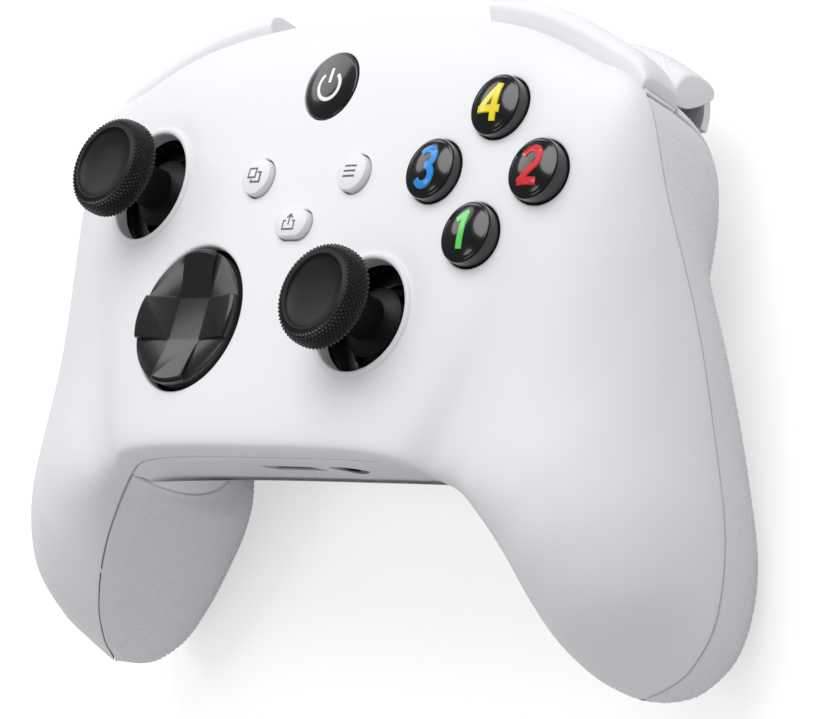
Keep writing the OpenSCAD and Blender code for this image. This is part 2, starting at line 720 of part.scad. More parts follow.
module trigger() {
  translate([0, trigger_y, trigger_z])
    difference() {
      union() {
        translate([0, -trigger_y, -trigger_z])
          loft([for (f = trigger_steps) [for (j = [0:11]) trigger_loop(f)[11 - j]]]);
        x_rod(trigger_x + 1, trigger_x + 3.4, hub_r);
        x_rod(cheek_x + cheek_t + 1, trigger_x + trigger_w - 7.5, hub_r);
        translate([trigger_x + 1, 0, -5])
          cube([2.4, 7.5, 4]);
        translate([cheek_x + cheek_t + 1, 0, -5])
          cube([trigger_x + trigger_w - cheek_x - cheek_t - 8.5, 4.5, 4]);
        translate([trigger_x + 0.6, 0, 0])
          rotate([90, 0, 90])
            linear_extrude(height = trigger_w - 1.8)
              polygon(concat(arc(shroud_r, 138, 188, 7), arc(shroud_r - 1.5, 188, 138, 7)));
      }
      x_rod(0, trigger_x + trigger_w - 6, trigger_pin_d / 2 + run_gap);
      translate([cheek_x - 0.4, 0, 0])
        rotate([90, 0, 90])
          linear_extrude(height = cheek_t + 0.8)
            polygon([[-20, -20], [0.8, -20], [0.8, -5.3], [3.8, -3.9], [5.4, 0], [3.8, 4],
              [0.8, 10], [-20, 10]]);
    }
}
module right_trigger() {
  color(white)
    lay()
      trigger();
}
module left_trigger() {
  color(white)
    lay()
      mirror([1, 0, 0])
        trigger();
}
module trigger_pins() {
  color(steel)
    lay()
      both_sides()
        translate([0, trigger_y, trigger_z])
          x_rod(trigger_x - 3.4, cheek_x + 7.5, trigger_pin_d / 2);
}
module trigger_springs() {
  turns = 4;
  wire = 0.35;
  mid = trigger_pin_d / 2 + 0.25 + wire;
  steps = turns * 12;
  function at(q, a) = [trigger_x + 4 + 5 * q / (360 * turns), trigger_y + (mid + wire * cos(a)) * cos(q),
    trigger_z + (mid + wire * cos(a)) * sin(q)] + [wire * sin(a), 0, 0];
  color(steel)
    lay()
      both_sides()
        loft([for (i = [0:steps]) [for (a = [300:-60:0]) at(360 * turns * i / steps, a)]]);
}

module main_board() {
  edge = outer_y + face_pitch + 6.2;
  outline = [[-36, -20], [36, -20], [49, -7], [49, edge - 6], [45, edge], [20, edge], [20, 44], [-20, 44],
    [-20, edge], [-45, edge], [-49, edge - 6], [-49, -7]];
  color(green)
    lay()
      difference() {
        union() {
          translate([0, 0, board_low])
            linear_extrude(height = board_t)
              polygon(outline);
          translate([-9, -6, board_low - 1])
            cube([12, 12, 1]);
          translate([8, 22, board_low - 1.2])
            cube([9, 7, 1.2]);
          translate([sync_at[0] - 2.5, 40, board_z])
            cube([5, 3.4, 3.6]);
        }
        both_sides()
          for (p = board_screws_at)
            on_face(p[0], p[1], board_low - 3)
              cylinder(h = 8, d = screw_d);
      }
}
module power_board() {
  color(green)
    lay()
      difference() {
        union() {
          translate([-22, 0, link_z - board_t])
            cube([44, 17, board_t]);
          translate([-18, 9, link_z])
            cube([8, 6, 1.2]);
        }
        for (s = [-1, 1])
          on_face(s * 19, 3, link_z - 3)
            cylinder(h = 6, d = 2.2);
      }
}
link_z = board_low - 2.4;
module board_link() {
  color(dark)
    lay()
      translate([-7, 10, link_z])
        cube([14, 4, board_low - link_z]);
}

// One stick module round its pivot
module stick_frame() {
  w = frame_w;
  inside = w - 2.4;
  color(steel)
    difference() {
      translate([-w / 2, -w / 2, -pivot_h])
        cube([w, w, pivot_h + 2.9]);
      translate([-inside / 2, -inside / 2, -pivot_h - 1])
        cube([inside, inside, pivot_h + 6]);
      x_rod(-w, w, 1.2 + run_gap);
    }
}
module stick_sensor() {
  color(rubber)
    for (q = [0, 90])
      rotate([0, 0, q])
        translate([-4, -frame_w / 2 - 2.4, -pivot_h])
          difference() {
            cube([8, 2.2, 7]);
            translate([4, -1, pivot_h])
              y_rod(0, 4, 1.4);
          }
}
module stick_gimbal() {
  in_x = frame_w - 6;
  in_y = 7.4;
  color(dark)
    difference() {
      union() {
        translate([-in_x / 2 - 1.4, -in_y / 2 - 1.4, -1.6])
          cube([in_x + 2.8, in_y + 2.8, 3.2]);
        x_rod(-frame_w / 2 - 0.1, frame_w / 2 + 0.1, 1.2);
      }
      translate([-in_x / 2, -in_y / 2, -2])
        cube([in_x, in_y, 4]);
      y_rod(-10, 10, 0.9 + run_gap);
    }
}
module stick_pivot() {
  color(rubber)
    difference() {
      union() {
        y_rod(-3.4, 3.4, 2.7);
        y_rod(-4.9, 4.9, 0.9);
      }
      translate([0, 0, -5])
        cylinder(h = 10, d = shaft_d + 2 * run_gap);
    }
}
module stick_shaft(top) {
  color(steel)
    translate([0, 0, -3.4])
      cylinder(h = top + 3.4, d = shaft_d);
}
function arc(r, a0, a1, n) = [for (i = [0:n]) let(a = a0 + (a1 - a0) * i / n) r * [sin(a), cos(a)]];
module stick_cap(top) {
  r = cap_d / 2;
  neck = neck_d / 2;
  dome_r = 9;
  bore = shaft_d / 2;
  low = top - cap_h;
  color(dark)
    rotate_extrude()
      polygon(concat(
        [[bore, dome_r - 1.1]],
        arc(dome_r - 1.2, 13, 34, 4),
        arc(dome_r, 34, 24, 3),
        [[neck, dome_r + 0.4], [neck, low - 1], [neck + 0.6, low - 0.4], [r - 1.2, low],
          [r - 0.4, low + 0.3], [r, low + 1], [r, top - 2.4], [r - 0.3, top - 1.3], [r - 0.9, top - 0.4],
          [r - 1.6, top], [r - 2.1, top], [r - 2.5, top - 0.4], [r - 4.4, top - 0.8 * dish_h],
          [0, top - dish_h],
          [0, top - dish_h - 1.2], [bore, top - dish_h - 1.2]]
      ));
}
module stick_ring(p) {
  high = under_face(p[0], p[1], 12);
  color(dark)
    translate([p[0], p[1], 0])
      rotate_extrude()
        polygon([[10.8, board_z], [12, board_z], [12, high], [well_d / 2 + 0.2, high],
          [well_d / 2 + 0.2, high - 0.8], [10.8, high - 1.6]]);
}
function stick_top(p) = face_z(p[0], p[1]) + cap_rise - pivot_z;
module at_stick(p) {
  lay()
    translate([p[0], p[1], pivot_z])
      children();
}
module left_stick_frame() {
  at_stick(left_stick)
    stick_frame();
}
module right_stick_frame() {
  at_stick(right_stick)
    stick_frame();
}
module left_stick_gimbal() {
  at_stick(left_stick)
    stick_gimbal();
}
module right_stick_gimbal() {
  at_stick(right_stick)
    stick_gimbal();
}
module left_stick_pivot() {
  at_stick(left_stick)
    stick_pivot();
}
module right_stick_pivot() {
  at_stick(right_stick)
    stick_pivot();
}
module left_stick_shaft() {
  at_stick(left_stick)
    stick_shaft(stick_top(left_stick) - dish_h - 1.2);
}
module right_stick_shaft() {
  at_stick(right_stick)
    stick_shaft(stick_top(right_stick) - dish_h - 1.2);
}
module left_stick_cap() {
  at_stick(left_stick)
    stick_cap(stick_top(left_stick));
}
module right_stick_cap() {
  at_stick(right_stick)
    stick_cap(stick_top(right_stick));
}
module left_stick_ring() {
  lay()
    stick_ring(left_stick);
}
module right_stick_ring() {
  lay()
    stick_ring(right_stick);
}
module stick_sensors() {
  at_stick(left_stick)
    stick_sensor();
  at_stick(right_stick)
    stick_sensor();
}

// Buttons: a cap in its hole, a flange under the shell and a stem
module round_button(x, y, d, rise, travel, dome, stem_d) {
  z = face_z(x, y);
  r = d / 2;
  seat = under_face(x, y, r + 0.9) - 0.1;
  low = button_low(travel);
  ball = (r * r + dome * dome) / (2 * dome);
  edge = asin((r - 0.5) / ball);
  top = z + rise;
  translate([x, y, 0])
    rotate_extrude()
      polygon(concat(
        [[0, low], [stem_d / 2, low], [stem_d / 2, seat - 1.2], [r + 0.8, seat - 1.2], [r + 0.8, seat],
          [r, seat], [r, top - dome - 0.5]],
        [for (i = [6:-1:0]) [ball * sin(edge * i / 6), top - ball + ball * cos(edge * i / 6)]]
      ));
}
pad_z = board_z + 2.6;
function button_low(travel) = pad_z + travel + press_room;
module face_button(i) {
  color(dark)
    lay()
      round_button(face_at(i)[0], face_at(i)[1], face_d, face_rise, face_travel, 1.1, 7);
}
module face_button_north() {
  face_button(0);
}
module face_button_east() {
  face_button(1);
}
module face_button_south() {
  face_button(2);
}
module face_button_west() {
  face_button(3);
}
module home_button() {
  color(dark)
    lay()
      round_button(0, home_y, home_d, 0.6, small_travel, 0.6, 6);
}
module view_button() {
  color(white)
    lay()
      round_button(-small_x, small_y, small_d, small_rise, small_travel, 0.4, 4.4);
}
module menu_button() {
  color(white)
    lay()
      round_button(small_x, small_y, small_d, small_rise, small_travel, 0.4, 4.4);
}
module share_button() {
  z = face_z(0, share_y);
  seat = under_face(0, share_y, share_l / 2 + 0.9) - 0.1;
  low = button_low(small_travel);
  color(white)
    lay()
      on_face(0, share_y) {
        translate([0, 0, seat - 1.2])
          pill(share_l, share_w, z + small_rise - seat + 1.2);
        translate([0, 0, seat - 1.2])
          pill(share_l + 1.6, share_w + 1.6, 1.2);
        translate([0, 0, low])
          cylinder(h = seat - low, d = 4);
      }
}
module face_button_pad() {
  color(rubber)
    lay()
      for (i = [0:3])
        on_face(face_at(i)[0], face_at(i)[1], board_z) {
          cylinder(h = 0.8, d = 11.6);
          cylinder(h = pad_z - board_z, d1 = 9, d2 = 6);
        }
}
module small_button_pad() {
  color(rubber)
    lay() {
      for (s = [-1, 1])
        on_face(s * small_x, small_y, board_z) {
          cylinder(h = 0.8, d = 7.4);
          cylinder(h = pad_z - board_z, d1 = 5.4, d2 = 4);
        }
      on_face(0, share_y, board_z)
        cylinder(h = pad_z - board_z, d1 = 5.4, d2 = 4);
      on_face(0, home_y, board_z)
        cylinder(h = pad_z - board_z, d1 = 7, d2 = 5);
    }
}
module home_light_guide() {
  high = under_face(0, home_y, home_d / 2 + 3.4);
  color([0.85, 0.86, 0.88])
    lay()
      on_face(0, home_y, board_z + 4.4)
        difference() {
          cylinder(h = high - board_z - 4.4, d = home_d + 5);
          translate([0, 0, -1])
            cylinder(h = 30, d = home_d + 2.4);
        }
}

dpad_z = face_z(-inner_x, inner_y);
cross_z = board_z + 4.6;
module at_dpad() {
  lay()
    translate([-inner_x, inner_y, 0])
      children();
}
module dpad_arm_shape(r, top) {
  rotate([90, 0, 0])
    translate([0, 0, -dpad_arm / 2])
      linear_extrude(height = dpad_arm)
        polygon([[-r, top - 4.2], [r, top - 4.2], [r, top], [dpad_arm / 2, top - dpad_dish],
          [-dpad_arm / 2, top - dpad_dish], [-r, top]]);
}
// Posts under the direction pad, and the room over them for its tilt
post_x = 7.8;
post_t = 1.8;
post_w = 4.8;
post_room = 0.7;
module dpad() {
  r = dpad_d / 2;
  top = dpad_z + dpad_rise;
  seat = under_face(-inner_x, inner_y, r + 1.6) - 0.9;
  lug = cross_d / 2 + 1.6;
  color(dark)
    at_dpad()
      difference() {
        union() {
          intersection() {
            union() {
              dpad_arm_shape(r + 1, top);
              rotate([0, 0, 90])
                dpad_arm_shape(r + 1, top);
            }
            translate([0, 0, seat])
              cylinder(h = 20, r = r);
          }
          rotate_extrude()
            polygon([[0, seat - 1.2], [r + 1.4, seat - 1.2], [r + 1.4, seat], [r, seat], [r, top - 0.5],
              [r - 0.5, top - 0.5], [3, top - dpad_dish - 0.7], [0, top - dpad_dish - 0.7]]);
          for (s = [-1, 1])
            translate([-2.4, s * 6 - 0.9, cross_z - lug])
              cube([4.8, 1.8, seat - cross_z + lug]);
        }
        for (s = [-1, 1])
          translate([s * post_x - post_t / 2 - 0.7, -post_w / 2 - 0.8, seat - 2.2])
            cube([post_t + 1.4, post_w + 1.6, 1 + post_room]);
        translate([0, 0, cross_z])
          y_rod(-10, 10, cross_d / 2 + run_gap);
      }
}
module dpad_cross() {
  color(steel)
    at_dpad()
      translate([0, 0, cross_z]) {
        x_rod(-8.6, 8.6, cross_d / 2);
        y_rod(-6.8, 6.8, cross_d / 2);
        y_rod(-3.4, 3.4, cross_d / 2 + 0.5);
      }
}
module dpad_bracket() {
  color(rubber)
    at_dpad()
      difference() {
        union() {
          translate([-10, -4, board_z])
            cube([20, 8, 1.2]);
          for (s = [-1, 1])
            translate([s * post_x - post_t / 2, -post_w / 2, board_z])
              cube([post_t, post_w, cross_z - board_z + cross_d / 2 + 0.9]);
        }
        translate([0, 0, cross_z])
          x_rod(-12, 12, cross_d / 2 + run_gap);
      }
}

// Rumble motors along the handles, small ones behind the triggers
module rumble_motor() {
  translate([rumble_x, rumble_y, rumble_z])
    difference() {
      union() {
        y_rod(-5, 8, motor_r);
        y_rod(-6, -5, 3);
      }
      y_rod(-7, 7, 0.8 + run_gap);
    }
}
module rumble_weight() {
  translate([rumble_x, rumble_y, rumble_z]) {
    y_rod(-13.5, 5, 0.8);
    difference() {
      y_rod(-13, -7, weight_r);
      translate([-20, -20, 1.8])
        cube([40, 20, 20]);
    }
  }
}
module mini_motor() {
  translate([mini_x, mini_y, mini_z])
    difference() {
      x_rod(0, 7, mini_r);
      x_rod(1, 8, 0.5 + run_gap);
    }
}
module mini_weight() {
  translate([mini_x, mini_y, mini_z]) {
    x_rod(2, 11.8, 0.5);
    difference() {
      x_rod(7.6, 11.4, mini_r - 0.2);
      translate([0, -10, 1])
        cube([20, 20, 10]);
    }
  }
}
module right_rumble_motor() {
  color(steel)
    lay()
      rumble_motor();
}
module left_rumble_motor() {
  color(steel)
    lay()
      mirror([1, 0, 0])
        rumble_motor();
}
module right_rumble_weight() {
  color(steel)
    lay()
      rumble_weight();
}
module left_rumble_weight() {
  color(steel)
    lay()
      mirror([1, 0, 0])
        rumble_weight();
}
module right_trigger_motor() {
  color(steel)
    lay()
      mini_motor();
}
module left_trigger_motor() {
  color(steel)
    lay()
      mirror([1, 0, 0])
        mini_motor();
}
module right_trigger_weight() {
  color(steel)
    lay()
      mini_weight();
}
module left_trigger_weight() {
  color(steel)
    lay()
      mirror([1, 0, 0])
        mini_weight();
}

module aa_batteries() {
  color([0.2, 0.35, 0.3])
    at_bay()
      for (s = [-1, 1])
        translate([0, s * (cell_d / 2 + 0.3), door_t + 0.6 + cell_d / 2]) {
          x_rod(-cell_l / 2, cell_l / 2 - 1, cell_d / 2);
          x_rod(0, cell_l / 2, 2.7);
        }
}
module battery_contacts() {
  color(steel)
    at_bay()
      for (s = [-1, 1])
        for (t = [-1, 1])
          translate([s * (cell_l / 2 + 1.3) - 0.3, t * (cell_d / 2 + 0.3) - 5, door_t + 3])
            cube([0.6, 10, 11]);
}
module usb_port() {
  depth = 7.6;
  color(steel)
    lay()
      translate([usb_at[0], usb_at[1] - 0.6, usb_at[2]])
        rotate([90, 0, 0]) {
          difference() {
            pill(usb_w + 0.8, usb_h + 0.8, depth);
            translate([0, 0, -1])
              pill(usb_w, usb_h, depth);
          }
          translate([-3.3, -0.35, 1])
            cube([6.6, 0.7, depth - 1.5]);
        }
}
module audio_jack() {
  color(dark)
    lay()
      translate([jack_at[0], jack_at[1] + 0.4, jack_at[2]])
        difference() {
          union() {
            y_rod(0, 5, jack_r + 1.2);
            translate([-3.2, 4.4, -2.9])
              cube([6.4, jack_l - 3.4, 6]);
          }
          y_rod(-1, jack_l, jack_r);
        }
}
module expansion_port() {
  color(dark)
    lay()
      translate([port_at[0], port_at[1] + 0.6, port_at[2]])
        rotate([-90, 0, 0])
          difference() {
            round_box(12, 4, 9, 0.6);
            translate([0, 0, -1])
              round_box(10.4, 2.4, 7, 0.5);
          }
}
module sync_button() {
  color(dark)
    lay()
      translate([sync_at[0], sync_at[1] + 0.7, sync_at[2]])
        rotate([90, 0, 0]) {
          pill(5, 2.6, 4);
          translate([0, 0, 3.6])
            pill(6.4, 4, 1);
          translate([0, 0, 4])
            cylinder(h = sync_at[1] - 43.4 - 3.3 - small_travel - press_room, d = 1.8);
        }
}
module case_screws() {
  color(steel)
    lay()
      both_sides()
        for (p = case_screws_at)
          on_face(p[0], p[1], case_split_z - screw_grip) {
            translate([0, 0, -1.6])
              cylinder(h = 1.6, d = screw_d + 2.4);
            cylinder(h = screw_grip + 7, d = screw_d);
          }
}
module board_screws() {
  color(steel)
    lay()
      both_sides()
        for (p = board_screws_at)
          on_face(p[0], p[1], board_low) {
            translate([0, 0, -1.4])
              cylinder(h = 1.4, d = screw_d + 1.8);
            cylinder(h = board_t + 5, d = screw_d - 0.4);
          }
}

front_shell();
rear_shell();
left_grip_panel();
right_grip_panel();
battery_door();
top_bridge();
left_bumper();
right_bumper();
bumper_pins();
left_trigger();
right_trigger();
trigger_pins();
trigger_springs();
main_board();
power_board();
board_link();
left_stick_frame();
right_stick_frame();
stick_sensors();
left_stick_gimbal();
right_stick_gimbal();
left_stick_pivot();
right_stick_pivot();
left_stick_shaft();
right_stick_shaft();
left_stick_cap();
right_stick_cap();
left_stick_ring();
right_stick_ring();
face_button_north();
face_button_east();
face_button_south();
face_button_west();
face_button_pad();
home_button();
home_light_guide();
view_button();
menu_button();
share_button();
small_button_pad();
dpad();
dpad_cross();
dpad_bracket();
left_rumble_motor();
right_rumble_motor();
left_rumble_weight();
right_rumble_weight();
left_trigger_motor();
right_trigger_motor();
left_trigger_weight();
right_trigger_weight();
aa_batteries();
battery_contacts();
usb_port();
audio_jack();
expansion_port();
sync_button();
case_screws();
board_screws();
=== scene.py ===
import math

import bmesh
import bpy
import numpy as np
from mathutils import Matrix, Vector
from mathutils.geometry import delaunay_2d_cdt


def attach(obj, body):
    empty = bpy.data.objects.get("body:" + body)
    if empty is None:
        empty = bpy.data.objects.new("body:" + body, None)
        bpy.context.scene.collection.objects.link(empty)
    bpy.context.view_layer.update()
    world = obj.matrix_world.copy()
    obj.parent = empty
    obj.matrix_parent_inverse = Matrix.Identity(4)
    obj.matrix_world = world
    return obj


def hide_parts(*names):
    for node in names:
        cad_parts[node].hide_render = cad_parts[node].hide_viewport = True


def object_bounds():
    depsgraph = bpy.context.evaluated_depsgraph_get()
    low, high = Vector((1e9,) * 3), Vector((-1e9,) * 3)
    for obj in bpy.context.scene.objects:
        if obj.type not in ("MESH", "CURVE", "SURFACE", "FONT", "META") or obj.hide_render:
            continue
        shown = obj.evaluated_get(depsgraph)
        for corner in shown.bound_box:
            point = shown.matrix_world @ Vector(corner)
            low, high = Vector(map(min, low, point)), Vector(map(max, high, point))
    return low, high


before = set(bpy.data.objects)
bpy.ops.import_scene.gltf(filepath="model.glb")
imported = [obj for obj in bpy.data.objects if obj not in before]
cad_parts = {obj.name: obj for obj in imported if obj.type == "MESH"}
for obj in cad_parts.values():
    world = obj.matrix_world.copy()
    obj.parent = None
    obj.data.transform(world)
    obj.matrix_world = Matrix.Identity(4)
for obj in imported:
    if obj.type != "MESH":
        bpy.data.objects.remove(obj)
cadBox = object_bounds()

print("frame loaded:", len(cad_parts), "nodes")

# sizes are millimetres in the frame of the face: X right, Y to the triggers, Z out of the face
lay = {"tilt": 12, "shiftY": 4.33683, "restZ": 45.2819}  # how the solids lie on the table
body = {"halfWidth": 76.3, "topY": 50.3, "archY": -26.3, "tipY": -53.8, "crown": 7.1, "gripDepth": 28,
        "wall": 2.2, "panelWall": 2, "seamGap": 0.3, "panelAt": 4.04, "edgeRound": 0.35}
controls = {"outer": (41, 20.5), "inner": (21.2, -4), "pivotZ": -8.5}
turnCos = math.cos(math.radians(lay["tilt"]))
turnSin = math.sin(math.radians(lay["tilt"]))


def toTable(points):
    p = np.asarray(points, float)
    y = p[..., 1] * turnCos + p[..., 2] * turnSin + lay["shiftY"]
    z = p[..., 2] * turnCos - p[..., 1] * turnSin + lay["restZ"]
    return np.stack([p[..., 0], y, z], -1) / 1000


# the body's sections: inner seam, outer seam, front (height, squareness in and out, crest),
# then the rear in the same way, and its lean
def bodyStations():
    keys = ("halfWidth", "topY", "archY", "tipY", "crown", "gripDepth")
    w, top, arch, tip, crown, deep = (body[k] for k in keys)
    return np.array([
        [0, arch, -6.2, 0, top, -4.2, crown, 12, 3.8, 0.58, 27.3, 2.4, 3, 0.5, 0],
        [14, arch, -6.2, 18, top - 0.1, -4.1, crown - 0.1, 12, 3.8, 0.58, 27.3, 2.4, 3, 0.5, 0],
        [26, arch - 0.2, -6.6, 38, top - 3.1, -4.2, crown - 0.4, 12, 3.4, 0.57, 27.4, 2.4, 3, 0.5, 0],
        [34, arch - 0.8, -7.9, 54, top - 9, -4.6, crown - 0.9, 10, 2.8, 0.54, 27.6, 2.5, 3, 0.48, 0],
        [39, arch - 2, -10.6, w - 11, 35.6, -5.4, crown - 1.3, 6.4, 2.3, 0.48, 28.3, 2.8, 3.8, 0.44, -0.06],
        [42.5, -29.8, -12.8, w - 6.3, 20, -11.2, crown + 0.5, 3.8, 2, 0.44, deep + 1.4, 3.4, 2.4, 0.38,
         -0.18],
        [45.7, -33.4, -14.8, w - 3, 3, -20.8, 10.8, 2.8, 2, 0.43, deep + 0.8, 3.4, 2.3, 0.34, -0.2],
        [49, -38, -17.2, w - 1, -14, -29.2, 13.5, 2.3, 2, 0.45, deep - 1.2, 3.3, 2.6, 0.33, -0.2],
        [52.4, -43.4, -20.6, w, -28, -35.6, 14.6, 2.2, 2.05, 0.48, deep - 4, 3, 2.7, 0.34, -0.18],
        [56, tip + 5.1, -25.4, w - 1.5, -40, -39.6, 13.2, 2.1, 2.1, 0.5, 19.4, 2.6, 2.4, 0.38, -0.14],
        [59.4, tip + 1.6, -31, w - 5.5, tip + 6.2, -41, 9.2, 2, 2.1, 0.5, 12.6, 2.2, 2.1, 0.45, -0.08],
        [61.8, tip + 0.4, -35.2, w - 8.9, tip + 2.6, -40.4, 5, 2, 2, 0.5, 6.6, 2, 2, 0.48, -0.03],
        [64, tip, -38.2, w - 11.8, tip, -38.6, 0.3, 2, 2, 0.5, 0.3, 2, 2, 0.5, 0],
    ])


stations = bodyStations()
lastStation = len(stations) - 1
flipRow = np.ones(15)
flipRow[[0, 3, 14]] = -1
paddedRows = np.vstack([stations[1] * flipRow, stations, 2 * stations[-1] - stations[-2]])


def rowAt(u):
    u = np.asarray(u, float)
    i = np.minimum(np.abs(u).astype(int), lastStation - 1)
    t = (np.abs(u) - i)[..., None]
    p0, p1, p2, p3 = (paddedRows[i + k] for k in range(4))
    r = 0.5 * (2 * p1 + (p2 - p0) * t + (2 * p0 - 5 * p1 + 4 * p2 - p3) * t ** 2
               + (3 * p1 - p0 - 3 * p2 + p3) * t ** 3)
    return np.where((u < 0)[..., None], r * flipRow, r)


def unit(v):
    return v / np.maximum(np.linalg.norm(v, axis=-1, keepdims=True), 1e-12)


def skinAt(u, t, inset=0.0, front=True):
    r = rowAt(u)
    t = np.radians(t)
    a, across = r[..., 0:3], r[..., 3:6] - r[..., 0:3]
    d = unit(across)
    span = np.linalg.norm(across, axis=-1) - 2 * inset
    if front:
        up = unit(np.array([0, 0, 1.0]) - d * d[..., 2:3])
        h, nIn, nOut, k = (r[..., i] for i in (6, 7, 8, 9))
        drop = 0
    else:
        up = unit(np.stack([r[..., 14], 0 * r[..., 14], -1 + 0 * r[..., 14]], -1))
        h, nIn, nOut, k = (r[..., i] for i in (10, 11, 12, 13))
        drop = body["seamGap"]
    c = np.cos(t)
    n = np.where(c > 0, nIn, nOut)
    along = np.abs(c) ** (2 / n)
    x = np.where(c > 0, k * (1 - along), k + (1 - k) * along)
    rise = (h - inset) * np.maximum(np.sin(t), 0) ** (2 / n)
    return a - np.array([0, 0, drop]) + d * (inset + x * span)[..., None] + up * rise[..., None]


def angleOf(q):  # q runs 0 to 1 round a section and crowds its points at the seams
    return 90 * (1 - np.cos(np.pi * np.asarray(q, float)))


def seamFirst(n, first=(0, 0.004, 0.008, 0.012, 0.016, 0.022, 0.03)):
    mid = np.linspace(0.042, 0.958, n)
    return np.concatenate([first, mid, 1 - np.array(first)[::-1]])


def crestPlaces():  # more q for the flat of the face, where even steps leave a wide strip empty
    c = np.concatenate([[3e-6, 3e-5, 3e-4], np.linspace(0.05, 0.3, 6) ** 2.2])
    t = np.degrees(np.arccos(np.concatenate([c, -c])))
    return np.arccos(1 - t / 90) / np.pi


def roundFace(u, q):  # share of the way round the front of a section, across and down its sides
    r, t = rowAt(u), np.radians(angleOf(q))
    c = np.cos(t)
    n, k = np.where(c > 0, r[..., 7], r[..., 8]), r[..., 9]
    along = np.abs(c) ** (2 / n)
    fall = r[..., 6] * (1 - np.maximum(np.sin(t), 0) ** (2 / n))
    span = np.linalg.norm(r[..., 3:6] - r[..., 0:3], axis=-1)
    way = np.where(c > 0, k * (1 - along) * span - fall, (k + (1 - k) * along) * span + fall)
    return (way + r[..., 6]) / (span + 2 * r[..., 6])


def acrossAngle(u, w):  # w runs from 1 at the inner seam over 0 at the crest to -1 at the outer seam
    r = rowAt(u)
    n = np.where(w > 0, r[..., 7], r[..., 8])
    return np.degrees(np.arccos(np.sign(w) * np.clip(np.abs(w), 0, 1) ** (n / 2)))


def faceSkin(u, w):  # the front skin again, by w
    r = rowAt(u)
    across = r[..., 3:6] - r[..., 0:3]
    d = unit(across)
    up = unit(np.array([0, 0, 1.0]) - d * d[..., 2:3])
    n, k = np.where(w > 0, r[..., 7], r[..., 8]), r[..., 9]
    x = np.where(w > 0, k * (1 - w), k - (1 - k) * w) * np.linalg.norm(across, axis=-1)
    rise = r[..., 6] * np.maximum(1 - np.abs(w) ** n, 0) ** (1 / n)
    return r[..., 0:3] + d * x[..., None] + up * rise[..., None]


def facePlace(x, y):  # u and q on the front skin over a point of the face
    x, y = np.asarray(x, float), np.asarray(y, float)
    ax = np.abs(x)
    lo, hi = np.zeros_like(ax), np.full_like(ax, 9)
    for _ in range(30):
        mid = (lo + hi) / 2
        r = rowAt(mid)
        side = (r[..., 3] - r[..., 0]) * (y - r[..., 1]) - (r[..., 4] - r[..., 1]) * (ax - r[..., 0])
        lo, hi = np.where(side < 0, mid, lo), np.where(side < 0, hi, mid)
    u = (lo + hi) / 2
    r = rowAt(u)
    across = r[..., 3:5] - r[..., 0:2]
    s = ((ax - r[..., 0]) * across[..., 0] + (y - r[..., 1]) * across[..., 1]) / (across ** 2).sum(-1)
    k = r[..., 9]
    w = np.where(s < k, 1 - s / k, (k - s) / (1 - k))
    step = 1e-4
    for _ in range(8):  # settle on the exact point
        p = faceSkin(u, w)
        ju = (faceSkin(u + step, w) - p)[..., :2] / step
        jw = (faceSkin(u, w + step) - p)[..., :2] / step
        ex, ey = ax - p[..., 0], y - p[..., 1]
        det = ju[..., 0] * jw[..., 1] - ju[..., 1] * jw[..., 0]
        u = u + np.clip((ex * jw[..., 1] - ey * jw[..., 0]) / det, -0.3, 0.3)
        w = w + np.clip((ju[..., 0] * ey - ju[..., 1] * ex) / det, -0.1, 0.1)
    u, t = np.where(x < 0, -u, u), acrossAngle(u, w)
    return u, np.arccos(np.clip(1 - t / 90, -1, 1)) / np.pi


def faceHeight(x, y):
    u, q = facePlace(np.array([x]), np.array([y]))
    return float(skinAt(u, angleOf(q))[0, 2])


# shader nodes written as sums
class Wire:
    def __init__(self, tree, out=None):
        self.tree, self.out = tree, out

    def node(self, kind, inputs=None, out=0, **settings):
        n = self.tree.nodes.new(kind)
        for key, value in settings.items():
            if key == "stops":
                ramp = n.color_ramp
                while len(ramp.elements) < len(value):
                    ramp.elements.new(0.5)
                for e, (place, colour) in zip(ramp.elements, value):
                    e.position, e.color = place, colour
            else:
                setattr(n, key, value)
        for key, value in (inputs or {}).items():
            if isinstance(value, Wire):
                self.tree.links.new(value.out, n.inputs[key])
            else:
                n.inputs[key].default_value = value
        return Wire(self.tree, n.outputs[out])

    def calc(self, operation, a, b=0.0):
        return self.node("ShaderNodeMath", {0: a, 1: b}, operation=operation)

    def __add__(self, other):
        return self.calc("ADD", self, other)

    def __radd__(self, other):
        return self.calc("ADD", other, self)

    def __sub__(self, other):
        return self.calc("SUBTRACT", self, other)

    def __rsub__(self, other):
        return self.calc("SUBTRACT", other, self)

    def __mul__(self, other):
        return self.calc("MULTIPLY", self, other)

    def __rmul__(self, other):
        return self.calc("MULTIPLY", other, self)

    def mix(self, dark, light):  # self is the share of light
        return self.node("ShaderNodeMix", {0: self, 6: dark, 7: light}, out=2, data_type="RGBA")


grain = {"broadScale": 38.0, "broadShare": 0.6, "fineShare": 0.4}


def tint(colour, factor):
    return tuple(min(1, c * factor) for c in colour[:3]) + (1,)


